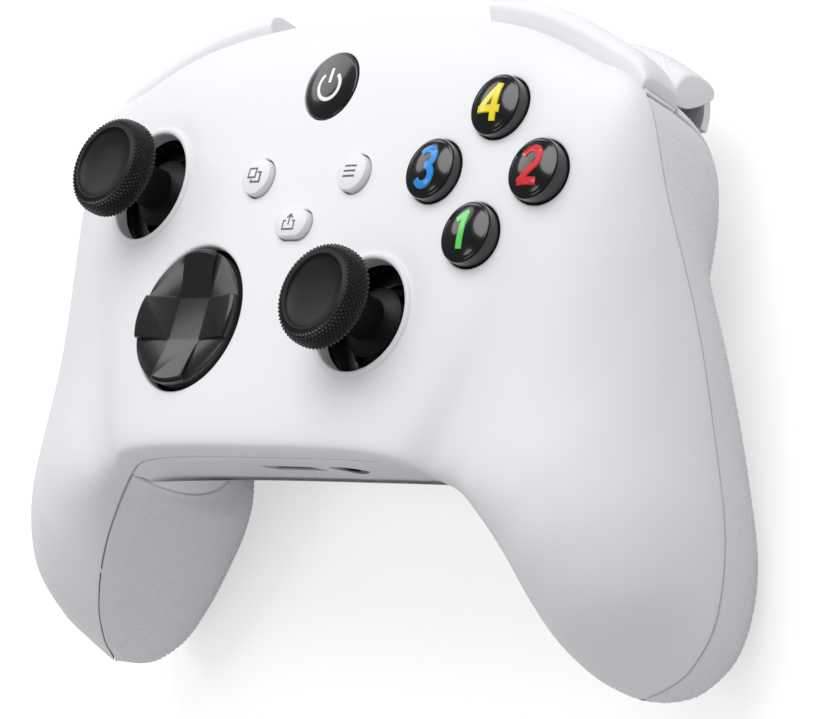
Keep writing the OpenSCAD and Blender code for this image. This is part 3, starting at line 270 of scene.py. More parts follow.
def makeFinish(name, colour, rough, grainSize, grainDepth, spread=0.03, roughSpread=0.05, speck=None,
               metal=0.0, coat=0.0, coatRough=0.05, sheen=0.0, specular=0.5, streak=None):
    material = bpy.data.materials.new(name)
    material.use_nodes = True
    tree = material.node_tree
    shader = tree.nodes["Principled BSDF"]
    start = Wire(tree)
    place = start.node("ShaderNodeTexCoord", out=3)
    broad = start.node("ShaderNodeTexNoise",
                       {"Vector": place, "Scale": grain["broadScale"], "Detail": 3.0, "Roughness": 0.5})
    scaled = place
    if streak:  # stretched grain of drawn or rolled metal
        scaled = start.node("ShaderNodeMapping", {"Vector": place, "Scale": streak})
    fine = start.node("ShaderNodeTexNoise", {"Vector": scaled, "Scale": 1000.0 / grainSize, "Detail": 4.0,
                                             "Roughness": 0.55})
    tone = broad * grain["broadShare"] + fine * grain["fineShare"]
    hue = tone.mix(tint(colour, 1 - spread), tint(colour, 1 + spread))
    if speck:
        cells = start.node("ShaderNodeTexVoronoi", {"Vector": place, "Scale": speck["scale"]})
        dot = start.calc("LESS_THAN", cells, speck["size"])
        hue = dot.mix(hue, speck["colour"])
    tree.links.new(hue.out, shader.inputs["Base Color"])
    roughness = (broad - 0.5) * roughSpread + (fine - 0.5) * roughSpread + rough
    tree.links.new(roughness.out, shader.inputs["Roughness"])
    bump = start.node("ShaderNodeBump", {"Height": fine, "Strength": 1.0, "Distance": grainDepth / 1000})
    tree.links.new(bump.out, shader.inputs["Normal"])
    shader.inputs["Metallic"].default_value = metal
    shader.inputs["Coat Weight"].default_value = coat
    shader.inputs["Coat Roughness"].default_value = coatRough
    shader.inputs["Specular IOR Level"].default_value = specular
    if sheen:
        shader.inputs["Sheen Weight"].default_value = sheen
        shader.inputs["Sheen Roughness"].default_value = 0.4
    return material


finishes = {
    "shellWhite": makeFinish("shellWhite", (0.83, 0.838, 0.868), 0.40, 0.35, 0.006, 0.012, 0.06),
    "gripWhite": makeFinish("gripWhite", (0.79, 0.80, 0.84), 0.48, 0.3, 0.008, 0.015, 0.06),
    "buttonWhite": makeFinish("buttonWhite", (0.80, 0.81, 0.84), 0.34, 0.3, 0.004, 0.015, 0.05),
    "glossBlack": makeFinish("glossBlack", (0.008, 0.008, 0.009), 0.16, 0.5, 0.001, 0.15, 0.05, coat=0.6),
    "padBlack": makeFinish("padBlack", (0.012, 0.012, 0.013), 0.24, 0.4, 0.002, 0.2, 0.08, coat=0.35,
                           coatRough=0.12),
    "knurlBlack": makeFinish("knurlBlack", (0.016, 0.016, 0.017), 0.36, 0.25, 0.006, 0.25, 0.1),
    "dishBlack": makeFinish("dishBlack", (0.011, 0.011, 0.012), 0.44, 0.2, 0.006, 0.2, 0.08, specular=0.28),
    "wellBlack": makeFinish("wellBlack", (0.012, 0.012, 0.013), 0.3, 0.4, 0.004, 0.2, 0.1),
    "printGrey": makeFinish("printGrey", (0.13, 0.135, 0.145), 0.5, 0.3, 0.003, 0.08, 0.06),
    "printWhite": makeFinish("printWhite", (0.86, 0.87, 0.88), 0.3, 0.4, 0.002, 0.02, 0.05, coat=0.5),
    "inlayYellow": makeFinish("inlayYellow", (0.86, 0.72, 0.03), 0.22, 0.4, 0.003, 0.06, 0.05, coat=0.6),
    "inlayRed": makeFinish("inlayRed", (0.72, 0.035, 0.045), 0.22, 0.4, 0.003, 0.06, 0.05, coat=0.6),
    "inlayGreen": makeFinish("inlayGreen", (0.13, 0.66, 0.12), 0.22, 0.4, 0.003, 0.06, 0.05, coat=0.6),
    "inlayBlue": makeFinish("inlayBlue", (0.03, 0.28, 0.78), 0.22, 0.4, 0.003, 0.06, 0.05, coat=0.6),
    "steel": makeFinish("steel", (0.62, 0.63, 0.65), 0.28, 0.6, 0.004, 0.06, 0.12, metal=1.0,
                        streak=(1, 8, 1)),
    "contactGold": makeFinish("contactGold", (0.78, 0.62, 0.30), 0.3, 0.5, 0.003, 0.06, 0.1, metal=1.0),
    "boardGreen": makeFinish("boardGreen", (0.010, 0.045, 0.025), 0.35, 0.8, 0.01, 0.2, 0.1,
                             speck={"scale": 420.0, "size": 0.12, "colour": (0.45, 0.33, 0.12, 1)}),
    "rubberGrey": makeFinish("rubberGrey", (0.16, 0.165, 0.175), 0.7, 0.4, 0.012, 0.1, 0.08, sheen=0.2),
    "guideClear": makeFinish("guideClear", (0.72, 0.74, 0.76), 0.25, 0.6, 0.003, 0.03, 0.06),
    "cellWrap": makeFinish("cellWrap", (0.05, 0.16, 0.11), 0.3, 0.6, 0.004, 0.1, 0.08, coat=0.4),
}
print("finishes made:", len(finishes))


# mesh helpers
def tidyMesh(mesh, merge=1e-7):
    bm = bmesh.new()
    bm.from_mesh(mesh)
    bmesh.ops.remove_doubles(bm, verts=bm.verts, dist=merge)
    bmesh.ops.recalc_face_normals(bm, faces=bm.faces)
    bm.to_mesh(mesh)
    bm.free()


def shadeMesh(mesh, angle):
    mesh.shade_smooth()
    mesh.set_sharp_from_angle(angle=math.radians(angle))


def looseObject(name, tablePoints, faces):
    mesh = bpy.data.meshes.new(name)
    mesh.from_pydata(np.asarray(tablePoints, float).tolist(), [], [list(map(int, f)) for f in faces])
    obj = bpy.data.objects.new(name, mesh)
    bpy.context.scene.collection.objects.link(obj)
    tidyMesh(mesh)
    return obj


def dress(obj, finish, rides, replaced=(), sharp=38):
    obj.data.materials.clear()
    obj.data.materials.append(finishes[finish])
    shadeMesh(obj.data, sharp)
    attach(obj, rides)
    if replaced:
        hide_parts(*replaced)
    return obj


def bake(obj):  # the evaluated result becomes the object's own plain mesh
    view = bpy.context.evaluated_depsgraph_get()
    mesh = bpy.data.meshes.new_from_object(obj.evaluated_get(view), depsgraph=view)
    obj.modifiers.clear()
    obj.data = mesh
    return obj


def carve(obj, cutter, operation="DIFFERENCE"):
    m = obj.modifiers.new("carve", "BOOLEAN")
    m.object, m.operation, m.solver = cutter, operation, "EXACT"
    bake(obj)
    bpy.data.objects.remove(cutter)
    return obj


def gridFaces(rows, cols, start=0, flip=False, wrap=False):
    faces = []
    for i in range(rows - 1):
        for j in range(cols if wrap else cols - 1):
            k = (j + 1) % cols
            f = (start + i * cols + j, start + i * cols + k, start + (i + 1) * cols + k,
                 start + (i + 1) * cols + j)
            faces.append(f[::-1] if flip else f)
    return faces


def wallFaces(rows, cols):  # an outer grid, an inner grid after it, and the rim between them
    n = rows * cols
    faces = gridFaces(rows, cols) + gridFaces(rows, cols, n, True)
    rim = list(range(cols)) + [i * cols + cols - 1 for i in range(1, rows)]
    rim += [(rows - 1) * cols + j for j in range(cols - 2, -1, -1)]
    rim += [i * cols for i in range(rows - 2, 0, -1)]
    return faces + [[a, b, b + n, a + n] for a, b in zip(rim, rim[1:] + rim[:1])]


def edgeRoll(near, r):  # how far a rolled edge falls back, by the distance from it
    return np.where(near < r, r - np.sqrt(np.maximum(r ** 2 - (r - near) ** 2, 0)), 0)


def runLength(line):  # way along a line at each of its points
    return np.concatenate([[0], np.cumsum(np.linalg.norm(np.diff(line, axis=0), axis=1))])


def roundedLine(points, radii, steps=5):  # a polyline with its corners turned into arcs
    pts = [np.array(p, float) for p in points]
    out = [pts[0]]
    for a, b, c, r in zip(pts, pts[1:], pts[2:], radii):
        toA, toC = unit(a - b), unit(c - b)
        half = math.acos(float(np.clip(toA @ toC, -1, 1))) / 2
        if r <= 0 or half > 1.55:
            out.append(b)
            continue
        reach = min(r / math.tan(half), 0.48 * np.linalg.norm(a - b), 0.48 * np.linalg.norm(c - b))
        r = reach * math.tan(half)
        mid = b + unit(toA + toC) * r / math.sin(half)
        va, vc = unit(b + toA * reach - mid), unit(b + toC * reach - mid)
        turn = math.acos(float(np.clip(va @ vc, -1, 1)))
        for s in np.linspace(0, 1, steps + 1):
            v = (math.sin((1 - s) * turn) * va + math.sin(s * turn) * vc) / max(math.sin(turn), 1e-9)
            out.append(mid + v * r)
    out.append(pts[-1])
    return out


# a closed shape turned about Z; the profile runs from axis to axis
def turned(profile, centre=(0, 0), n=96):
    points, rings = [], []
    angles = np.arange(n) * 2 * math.pi / n
    for r, z in profile:
        if r < 1e-6:
            rings.append([len(points)] * n)
            points.append((centre[0], centre[1], z))
        else:
            rings.append(list(range(len(points), len(points) + n)))
            points += [(centre[0] + r * math.cos(a), centre[1] + r * math.sin(a), z) for a in angles]
    faces = []
    for low, high in zip(rings, rings[1:]):
        for j in range(n):
            k = (j + 1) % n
            f = [low[j], low[k], high[k], high[j]]
            f = [v for i, v in enumerate(f) if v != f[i - 1]]
            if len(f) > 2:
                faces.append(f)
    return np.array(points), faces


def loftLoops(loops):  # closed loops of the same length, capped at both ends
    rows, cols = len(loops), len(loops[0])
    faces = gridFaces(rows, cols, wrap=True)
    faces.append(list(range(cols))[::-1])
    faces.append([(rows - 1) * cols + j for j in range(cols)])
    return np.concatenate([np.asarray(l) for l in loops]), faces


def closedCurve(points, n, corner=0.5):  # smooth closed line through points, evenly spaced
    p = np.asarray(points, float)
    out = []
    for i in range(len(p)):
        p0, p1, p2, p3 = (p[(i + k) % len(p)] for k in (-1, 0, 1, 2))
        m1, m2 = corner * (p2 - p0), corner * (p3 - p1)
        limit = np.linalg.norm(p2 - p1)
        m1 = m1 * min(1, limit / max(np.linalg.norm(m1), 1e-9))
        m2 = m2 * min(1, limit / max(np.linalg.norm(m2), 1e-9))
        for t in np.linspace(0, 1, 12, endpoint=False):
            out.append((2 * t ** 3 - 3 * t ** 2 + 1) * p1 + (t ** 3 - 2 * t ** 2 + t) * m1
                       + (3 * t ** 2 - 2 * t ** 3) * p2 + (t ** 3 - t ** 2) * m2)
    out = np.array(out)
    lengths = np.concatenate([[0], np.cumsum(np.linalg.norm(np.roll(out, -1, 0) - out, axis=1))])
    ring = np.vstack([out, out[:1]])
    at = np.arange(n) * lengths[-1] / n
    return np.stack([np.interp(at, lengths, ring[:, k]) for k in range(ring.shape[1])], -1)


def mirrorX(points):
    return np.asarray(points) * np.array([-1, 1, 1])


def boxPoints(lo, hi):
    return np.array([[x, y, z] for z in (lo[2], hi[2]) for y in (lo[1], hi[1]) for x in (lo[0], hi[0])])


boxFaces = [(0, 2, 3, 1), (4, 5, 7, 6), (0, 1, 5, 4), (2, 6, 7, 3), (0, 4, 6, 2), (1, 3, 7, 5)]


# upright block on a flat outline, its top edge rounded by inset
def prism(outline, z0, z1, inset=0.0, steps=0):
    levels = [(0, z0), (0, z1 - inset)]
    levels += [(inset * (1 - math.cos(a)), z1 - inset + inset * math.sin(a))
               for a in np.linspace(0, math.pi / 2, steps + 1)[1:]] if steps else []
    o = np.asarray(outline, float)
    side = unit(np.roll(o, -1, 0) - o)
    normal = np.stack([side[:, 1], -side[:, 0]], -1)
    corner = unit(normal + np.roll(normal, 1, 0))
    loops = [np.column_stack([o - corner * e, np.full(len(o), z)]) for e, z in levels]
    return loftLoops(loops)


def pillLine(length, width, n=48, centre=(0, 0)):  # outline of a slot, anticlockwise
    a = np.arange(n) * 2 * math.pi / n + math.pi / n
    half = (length - width) / 2
    return np.stack([centre[0] + np.sign(np.cos(a)) * half + width / 2 * np.cos(a),
                     centre[1] + width / 2 * np.sin(a)], -1)


def boxLine(length, width, r, centre=(0, 0), n=8):  # outline of a rounded rectangle, anticlockwise
    out = []
    for k in range(4):
        sx, sy = ((1, 1), (-1, 1), (-1, -1), (1, -1))[k]
        for a in np.linspace(k * 90, k * 90 + 90, n):
            out.append((centre[0] + sx * (length / 2 - r) + r * math.cos(math.radians(a)),
                        centre[1] + sy * (width / 2 - r) + r * math.sin(math.radians(a))))
    return np.array(out)


# front shell: one skin with rolled edges round each opening
frontShell = {"uStep": 0.1, "qSteps": 74, "plainRound": 0.32, "padRound": 0.6, "homeRound": 0.22,
              "wellR": 9.5, "buttonR": 5.5, "homeR": 6.2, "smallR": 3.55, "padR": 12.85,
              "shareL": 8.3, "shareW": 5.5, "smallX": 11.7, "smallY": 20.6, "shareY": 12, "homeY": 36.8,
              "pitch": 10.8, "clear": 0.5, "flatU": 12, "flatRound": 85, "innerFade": 4}
# rise of the funnel lip over the face, by distance from the well
lipShape = [(0, -1.2), (0.02, -0.35), (0.07, 0.15), (0.16, 0.4), (0.32, 0.55), (0.55, 0.61), (0.85, 0.61),
            (1.02, 0.55), (1.13, 0.42), (1.22, 0.2), (1.33, 0.06), (1.6, 0.01), (2.2, 0)]


def rolled(radius):
    shape = [(radius * (1 - math.cos(a)), -radius * (1 - math.sin(a)))
             for a in np.linspace(0, math.pi / 2, 6)]
    return shape + [(radius + 0.35, 0), (radius + 0.9, 0)]


def faceButtonPlaces():
    cx, cy = controls["outer"]
    p = frontShell["pitch"]
    return {"north": (cx, cy + p), "east": (cx + p, cy), "south": (cx, cy - p), "west": (cx - p, cy)}


def faceOpenings():
    s = frontShell
    (ox, oy), (ix, iy) = controls["outer"], controls["inner"]
    round0 = rolled(s["plainRound"])
    holes = [((-ox, oy), 0, s["wellR"], lipShape, 110), ((ix, iy), 0, s["wellR"], lipShape, 110),
             ((-ix, iy), 0, s["padR"], rolled(s["padRound"]), 140),
             ((0, s["homeY"]), 0, s["homeR"], rolled(s["homeRound"]), 84),
             ((-s["smallX"], s["smallY"]), 0, s["smallR"], rolled(s["homeRound"]), 56),
             ((s["smallX"], s["smallY"]), 0, s["smallR"], rolled(s["homeRound"]), 56),
             ((0, s["shareY"]), (s["shareL"] - s["shareW"]) / 2, s["shareW"] / 2, rolled(s["homeRound"]),
              64)]
    return holes + [(c, 0, s["buttonR"], round0, 76) for c in faceButtonPlaces().values()]


def fromMiddle(p, hole):  # distance on the face from the middle line of an opening
    (cx, cy), half = hole[:2]
    return np.hypot(np.maximum(np.abs(p[:, 0] - cx) - half, 0), p[:, 1] - cy)


def makeFrontShell():
    us = np.arange(-lastStation, lastStation + 1e-6, frontShell["uStep"])
    qs = np.sort(np.concatenate([seamFirst(frontShell["qSteps"]), crestPlaces()]))
    gridU, gridQ = (g.ravel() for g in np.meshgrid(us, qs, indexing="ij"))
    gridP = skinAt(gridU, angleOf(gridQ))
    holes = faceOpenings()
    keep = np.ones(len(gridP), bool)
    for hole in holes:
        r, shape = hole[2:4]
        keep &= fromMiddle(gridP, hole) > r + shape[-1][0] + frontShell["clear"]
    place = [np.stack([gridU[keep], gridQ[keep]], -1)]
    lift = [np.zeros(keep.sum())]
    edges, loops, count = [], [], int(keep.sum())
    for (cx, cy), half, r, shape, n in holes:
        a = np.arange(n) * 2 * math.pi / n + math.pi / n
        for k, (e, dz) in enumerate(shape):
            x = cx + np.sign(np.cos(a)) * half + (r + e) * np.cos(a)
            y = cy + (r + e) * np.sin(a)
            place.append(np.stack(facePlace(x, y), -1))
            lift.append(np.full(n, dz))
            ids = list(range(count, count + n))
            edges += list(zip(ids, ids[1:] + ids[:1]))
            if k == 0:
                loops.append(ids)
            count += n
    place, lift = np.concatenate(place), np.concatenate(lift)
    sheet = np.column_stack([place[:, 0] * frontShell["flatU"],
                             roundFace(place[:, 0], place[:, 1]) * frontShell["flatRound"]])
    flat = [Vector(p) for p in sheet]
    _, _, tris, ids, _, _ = delaunay_2d_cdt(flat, edges, [], 0, 1e-6, True)
    source = [i[0] for i in ids]
    owner = {v: k for k, loop in enumerate(loops) for v in loop}
    tris = [[source[v] for v in t] for t in tris]
    tris = [t for t in tris if not (t[0] in owner and owner[t[0]] == owner.get(t[1]) == owner.get(t[2]))]

    u, q = place[:, 0], place[:, 1]
    t = angleOf(q)
    outer = skinAt(u, t)
    row = rowAt(u)
    d = unit(row[:, 3:6] - row[:, 0:3])
    near = np.where(q < 0.5, np.linalg.norm(outer - row[:, 0:3], axis=1),
                    np.linalg.norm(outer - row[:, 3:6], axis=1))
    f = body["edgeRound"] * np.clip((lastStation - np.abs(u)) / 0.4, 0, 1)
    roll = edgeRoll(near, f)
    shown = outer + d * (np.where(q < 0.5, 1, -1) * roll)[:, None] + np.array([0, 0, 1]) * lift[:, None]
    inner = skinAt(u * (lastStation - 1) / lastStation, t, body["wall"])
    nearest = np.min([fromMiddle(outer, hole) - hole[2] for hole in holes], axis=0)
    away = np.clip(nearest / frontShell["innerFade"], 0, 1)
    away = (away * away * (3 - 2 * away))[:, None]
    inner = inner * away + (outer - np.array([0, 0, body["wall"]])) * (1 - away)
    n = len(place)
    faces = [list(t) for t in tris] + [[v + n for v in t[::-1]] for t in tris]
    byPlace = {(round(a, 4), round(b, 9)): i for i, (a, b) in enumerate(place)}
    rim = [byPlace[(round(a, 4), 0.0)] for a in us]
    rim += [byPlace[(round(us[-1], 4), round(b, 9))] for b in qs[1:]]
    rim += [byPlace[(round(a, 4), 1.0)] for a in us[::-1][1:]]
    rim += [byPlace[(round(us[0], 4), round(b, 9))] for b in qs[::-1][1:-1]]
    for loop in loops + [rim]:
        faces += [[a, b, b + n, a + n] for a, b in zip(loop, loop[1:] + loop[:1])]
    obj = looseObject("frontShell", toTable(np.vstack([shown, inner])), faces)
    return dress(obj, "shellWhite", "housing", ["front_shell"], 42)


makeFrontShell()
print("front shell done")


# grip panels round the handles, and the dots moulded on them
gripPanel = {"uSteps": 96, "qSteps": 80}
gripDots = {"pitch": 1.15, "dotR": 0.3, "dotH": 0.13, "margin": 2.6, "sides": 6, "topShare": 0.5,
            "rowShare": 0.866, "sink": 0.02}


def gridNormals(p):
    du, dv = np.gradient(p, axis=0), np.gradient(p, axis=1)
    return unit(np.cross(du, dv))


def makeGripPanels():
    first = np.array([0, 0.008, 0.017, 0.028, 0.045, 0.07])
    rest = np.linspace(0.13, lastStation - body["panelAt"], gripPanel["uSteps"])
    us = body["panelAt"] + np.concatenate([first, rest])
    qs = seamFirst(gripPanel["qSteps"])
    u, q = np.meshgrid(us, qs, indexing="ij")
    outer = skinAt(u, angleOf(q), 0, False)
    normal = gridNormals(outer)
    middle = skinAt(u, np.full_like(u, 90), -1, False) - skinAt(u, np.full_like(u, 90), 0, False)
    at = (len(us) // 2, len(qs) // 2)
    normal = normal * np.sign((normal[at] * middle[at]).sum())
    f = body["edgeRound"]
    sideways = np.minimum(np.linalg.norm(outer - outer[:, :1], axis=2),
                          np.linalg.norm(outer - outer[:, -1:], axis=2))
    endways = np.linalg.norm(outer - outer[:1], axis=2)
    fade = np.clip((lastStation - u) / 0.4, 0, 1)
    near = np.minimum(sideways, endways)
    roll = edgeRoll(near, f) * fade
    shown = outer - normal * roll[..., None]
    start = body["panelAt"]
    shrunk = start + (u - start) * (lastStation - 1 - start) / (lastStation - start)
    inner = skinAt(shrunk, angleOf(q), body["panelWall"], False)
    faces = wallFaces(*u.shape)
    points = np.vstack([shown.reshape(-1, 3), inner.reshape(-1, 3)])
    for side, p in (("right", points), ("left", mirrorX(points))):
        obj = looseObject(side + "GripPanel", toTable(p), faces)
        dress(obj, "gripWhite", "housing", [side + "_grip_panel"], 42)


makeGripPanels()
print("grip panels done")


# geometry node trees
def newTree(name, inputs):
    tree = bpy.data.node_groups.new(name, "GeometryNodeTree")
    tree.interface.new_socket("Geometry", in_out="INPUT", socket_type="NodeSocketGeometry")
    for label, kind, value in inputs:
        s = tree.interface.new_socket(label, in_out="INPUT", socket_type=kind)
        if value is not None:
            s.default_value = value
    tree.interface.new_socket("Geometry", in_out="OUTPUT", socket_type="NodeSocketGeometry")
    return tree, tree.nodes.new("NodeGroupInput"), tree.nodes.new("NodeGroupOutput")


def addNode(tree, kind, links=None, **settings):
    n = tree.nodes.new(kind)
    for key, value in settings.items():
        setattr(n, key, value)
    for key, value in (links or {}).items():
        if hasattr(value, "is_output"):
            tree.links.new(value, n.inputs[key])
        else:
            n.inputs[key].default_value = value
    return n


def spreadOnPoints(tree, into, out, shape):  # the shape on every point, turned to its aim and side
    aim = addNode(tree, "GeometryNodeInputNamedAttribute", {"Name": "aim"}, data_type="FLOAT_VECTOR")
    side = addNode(tree, "GeometryNodeInputNamedAttribute", {"Name": "side"}, data_type="FLOAT_VECTOR")
    turn = addNode(tree, "FunctionNodeAxesToRotation", {
        "Primary Axis": aim.outputs["Attribute"], "Secondary Axis": side.outputs["Attribute"]},
        primary_axis="Z", secondary_axis="X")
    spread = addNode(tree, "GeometryNodeInstanceOnPoints", {
        "Points": into.outputs["Geometry"], "Instance": shape, "Rotation": turn.outputs["Rotation"]})
    real = addNode(tree, "GeometryNodeRealizeInstances", {"Geometry": spread.outputs["Instances"]})
    paint = addNode(tree, "GeometryNodeSetMaterial", {
        "Geometry": real.outputs["Geometry"], "Material": into.outputs["Finish"]})
    tree.links.new(paint.outputs["Geometry"], out.inputs["Geometry"])
    return tree


def studTree():  # a small stud on every point
    tree, into, out = newTree("studsOnPoints", [
        ("Radius", "NodeSocketFloat", 0.0003), ("Top radius", "NodeSocketFloat", 0.0001),
        ("Height", "NodeSocketFloat", 0.0001), ("Sides", "NodeSocketInt", 6),
        ("Finish", "NodeSocketMaterial", None)])
    stud = addNode(tree, "GeometryNodeMeshCone", {
        "Vertices": into.outputs["Sides"], "Radius Bottom": into.outputs["Radius"],
        "Radius Top": into.outputs["Top radius"], "Depth": into.outputs["Height"]})
    return spreadOnPoints(tree, into, out, stud.outputs["Mesh"])


studs = studTree()


def setInput(modifier, label, value):
    for item in modifier.node_group.interface.items_tree:
        if item.item_type == "SOCKET" and item.in_out == "INPUT" and item.name == label:
            modifier[item.identifier] = value


def onPoints(name, tree, tablePoints, aims, sides, values):
    mesh = bpy.data.meshes.new(name)
    mesh.from_pydata(np.asarray(tablePoints).tolist(), [], [])
    for label, vectors in (("aim", aims), ("side", sides)):
        a = mesh.attributes.new(label, "FLOAT_VECTOR", "POINT")
        a.data.foreach_set("vector", np.asarray(vectors, np.float32).ravel())
    obj = bpy.data.objects.new(name, mesh)
    bpy.context.scene.collection.objects.link(obj)
    m = obj.modifiers.new("repeat", "NODES")
    m.node_group = tree
    for label, value in values.items():
        setInput(m, label, value)
    return bake(obj)


def studded(name, tablePoints, aims, sides, sizes, finish):  # radius, top radius and height in mm, sides
    return onPoints(name, studs, tablePoints, aims, sides, {
        "Radius": sizes[0] / 1000, "Top radius": sizes[1] / 1000, "Height": sizes[2] / 1000,
        "Sides": sizes[3], "Finish": finishes[finish]})


def turnVectors(v):  # face frame directions to table directions
    v = np.asarray(v, float)
    return np.stack([v[..., 0], v[..., 1] * turnCos + v[..., 2] * turnSin,
                     v[..., 2] * turnCos - v[..., 1] * turnSin], -1)


def dotSizes():
    s = gripDots
    return s["dotR"], s["dotR"] * s["topShare"], s["dotH"], s["sides"]


def makeGripDots():
    s = gripDots
    u0, u1 = body["panelAt"] + 0.25, lastStation - 0.7
    fineU = np.linspace(u0, u1, 400)
    mid = skinAt(fineU, np.full(400, 90.0), 0, False)
    run = runLength(mid)
    rowsAt = np.interp(np.arange(0.5 * s["pitch"], run[-1], s["pitch"] * s["rowShare"]), run, fineU)
    spots, aims, along = [], [], []
    fineT = np.linspace(0.5, 179.5, 500)
    for k, u in enumerate(rowsAt):
        line = skinAt(np.full(500, u), fineT, 0, False)
        ahead = skinAt(np.full(500, u + 0.02), fineT, 0, False) - line
        step = np.gradient(line, axis=0)
        normal = unit(np.cross(step, ahead))
        arc = runLength(line)
        centre = line.mean(0)
        normal *= np.sign((normal * (line - centre)).sum(1).mean())
        at = np.arange(s["margin"] + (k % 2) * s["pitch"] / 2, arc[-1] - s["margin"], s["pitch"])
        if len(at) == 0:
            continue
        pick = [np.stack([np.interp(at, arc, v[:, i]) for i in range(3)], -1) for v in (line, normal, step)]
        spots.append(pick[0])
        aims.append(unit(pick[1]))
        along.append(unit(pick[2]))
    spots, aims, along = (np.concatenate(v) for v in (spots, aims, along))
    spots = spots - aims * s["sink"]
    low, high = np.array(cadBox[0]) * 1000 + s["dotH"], np.array(cadBox[1]) * 1000 - s["dotH"]
    inside = ((toTable(spots) * 1000 > low) & (toTable(spots) * 1000 < high)).all(1)
    spots, aims, along = spots[inside], aims[inside], along[inside]
    for side, flip in (("right", 1), ("left", -1)):
        m = np.array([flip, 1, 1])
        obj = studded(side + "GripDots", toTable(spots * m), turnVectors(aims * m), turnVectors(along * m),
                      dotSizes(), "gripWhite")
        dress(obj, "gripWhite", "housing", (), 60)
    print("grip dots:", len(spots), "a side")


makeGripDots()


# rear shell: middle of the back, the battery bay standing on it, and the room for the triggers
rearShell = {"uSteps": 170, "qSteps": 120, "blend": 3.0, "shelfZ": -18, "stepX": 25.4, "stepZ": -14.4,
             "triggerX": 37, "triggerW": 24.5, "pivotY": 38.5, "pivotZ": -17}
bay = {"midY": -5.2592, "length": 55.5, "width": 31.4, "height": 17.9, "doorL": 59.1, "doorW": 35.4,
       "doorT": 1.8,
       "gap": 0.25, "floorZ": 0.5, "sideX": 8.5, "sideTop": 3.5, "sideArch": 1.6, "sideZ": 9.4}


sockets = {"jackR": 3.35, "jackX": 7.5, "jackY": -4.8, "jackZ": -17.3, "portL": 12.8, "portW": 4.8,
           "portR": 0.8, "portX": -5.5, "portY": -5.8, "portZ": -16.8}


def bayUnder(x, y):  # underside of the bay's raised block over the table
    b = bay
    ex = (np.abs(x) - (b["doorL"] + 5) / 2) / b["sideX"]
    away = y - b["midY"] - lay["shiftY"]
    ey = np.where(away > 0, (away - b["doorW"] / 2 - 2.5) / b["sideTop"],
                  (-away - b["doorW"] / 2 - 1.3) / b["sideArch"])
    e = np.hypot(np.maximum(ex, 0), np.maximum(ey, 0)) + np.minimum(np.maximum(ex, ey), 0)
    return b["floorZ"] + b["sideZ"] * 0.5 * (e + np.sqrt(e * e + 0.004))


def cutterBox(lo, hi, laid=True):
    p = boxPoints(lo, hi)
    return looseObject("cutter", toTable(p) if laid else p / 1000, boxFaces)


def sidewaysPrism(outline, x0, x1):  # outline in Y and Z, drawn out along X
    o = np.asarray(outline, float)
    loops = [np.column_stack([np.full(len(o), x), o]) for x in (x0, x1)]
    return loftLoops(loops)


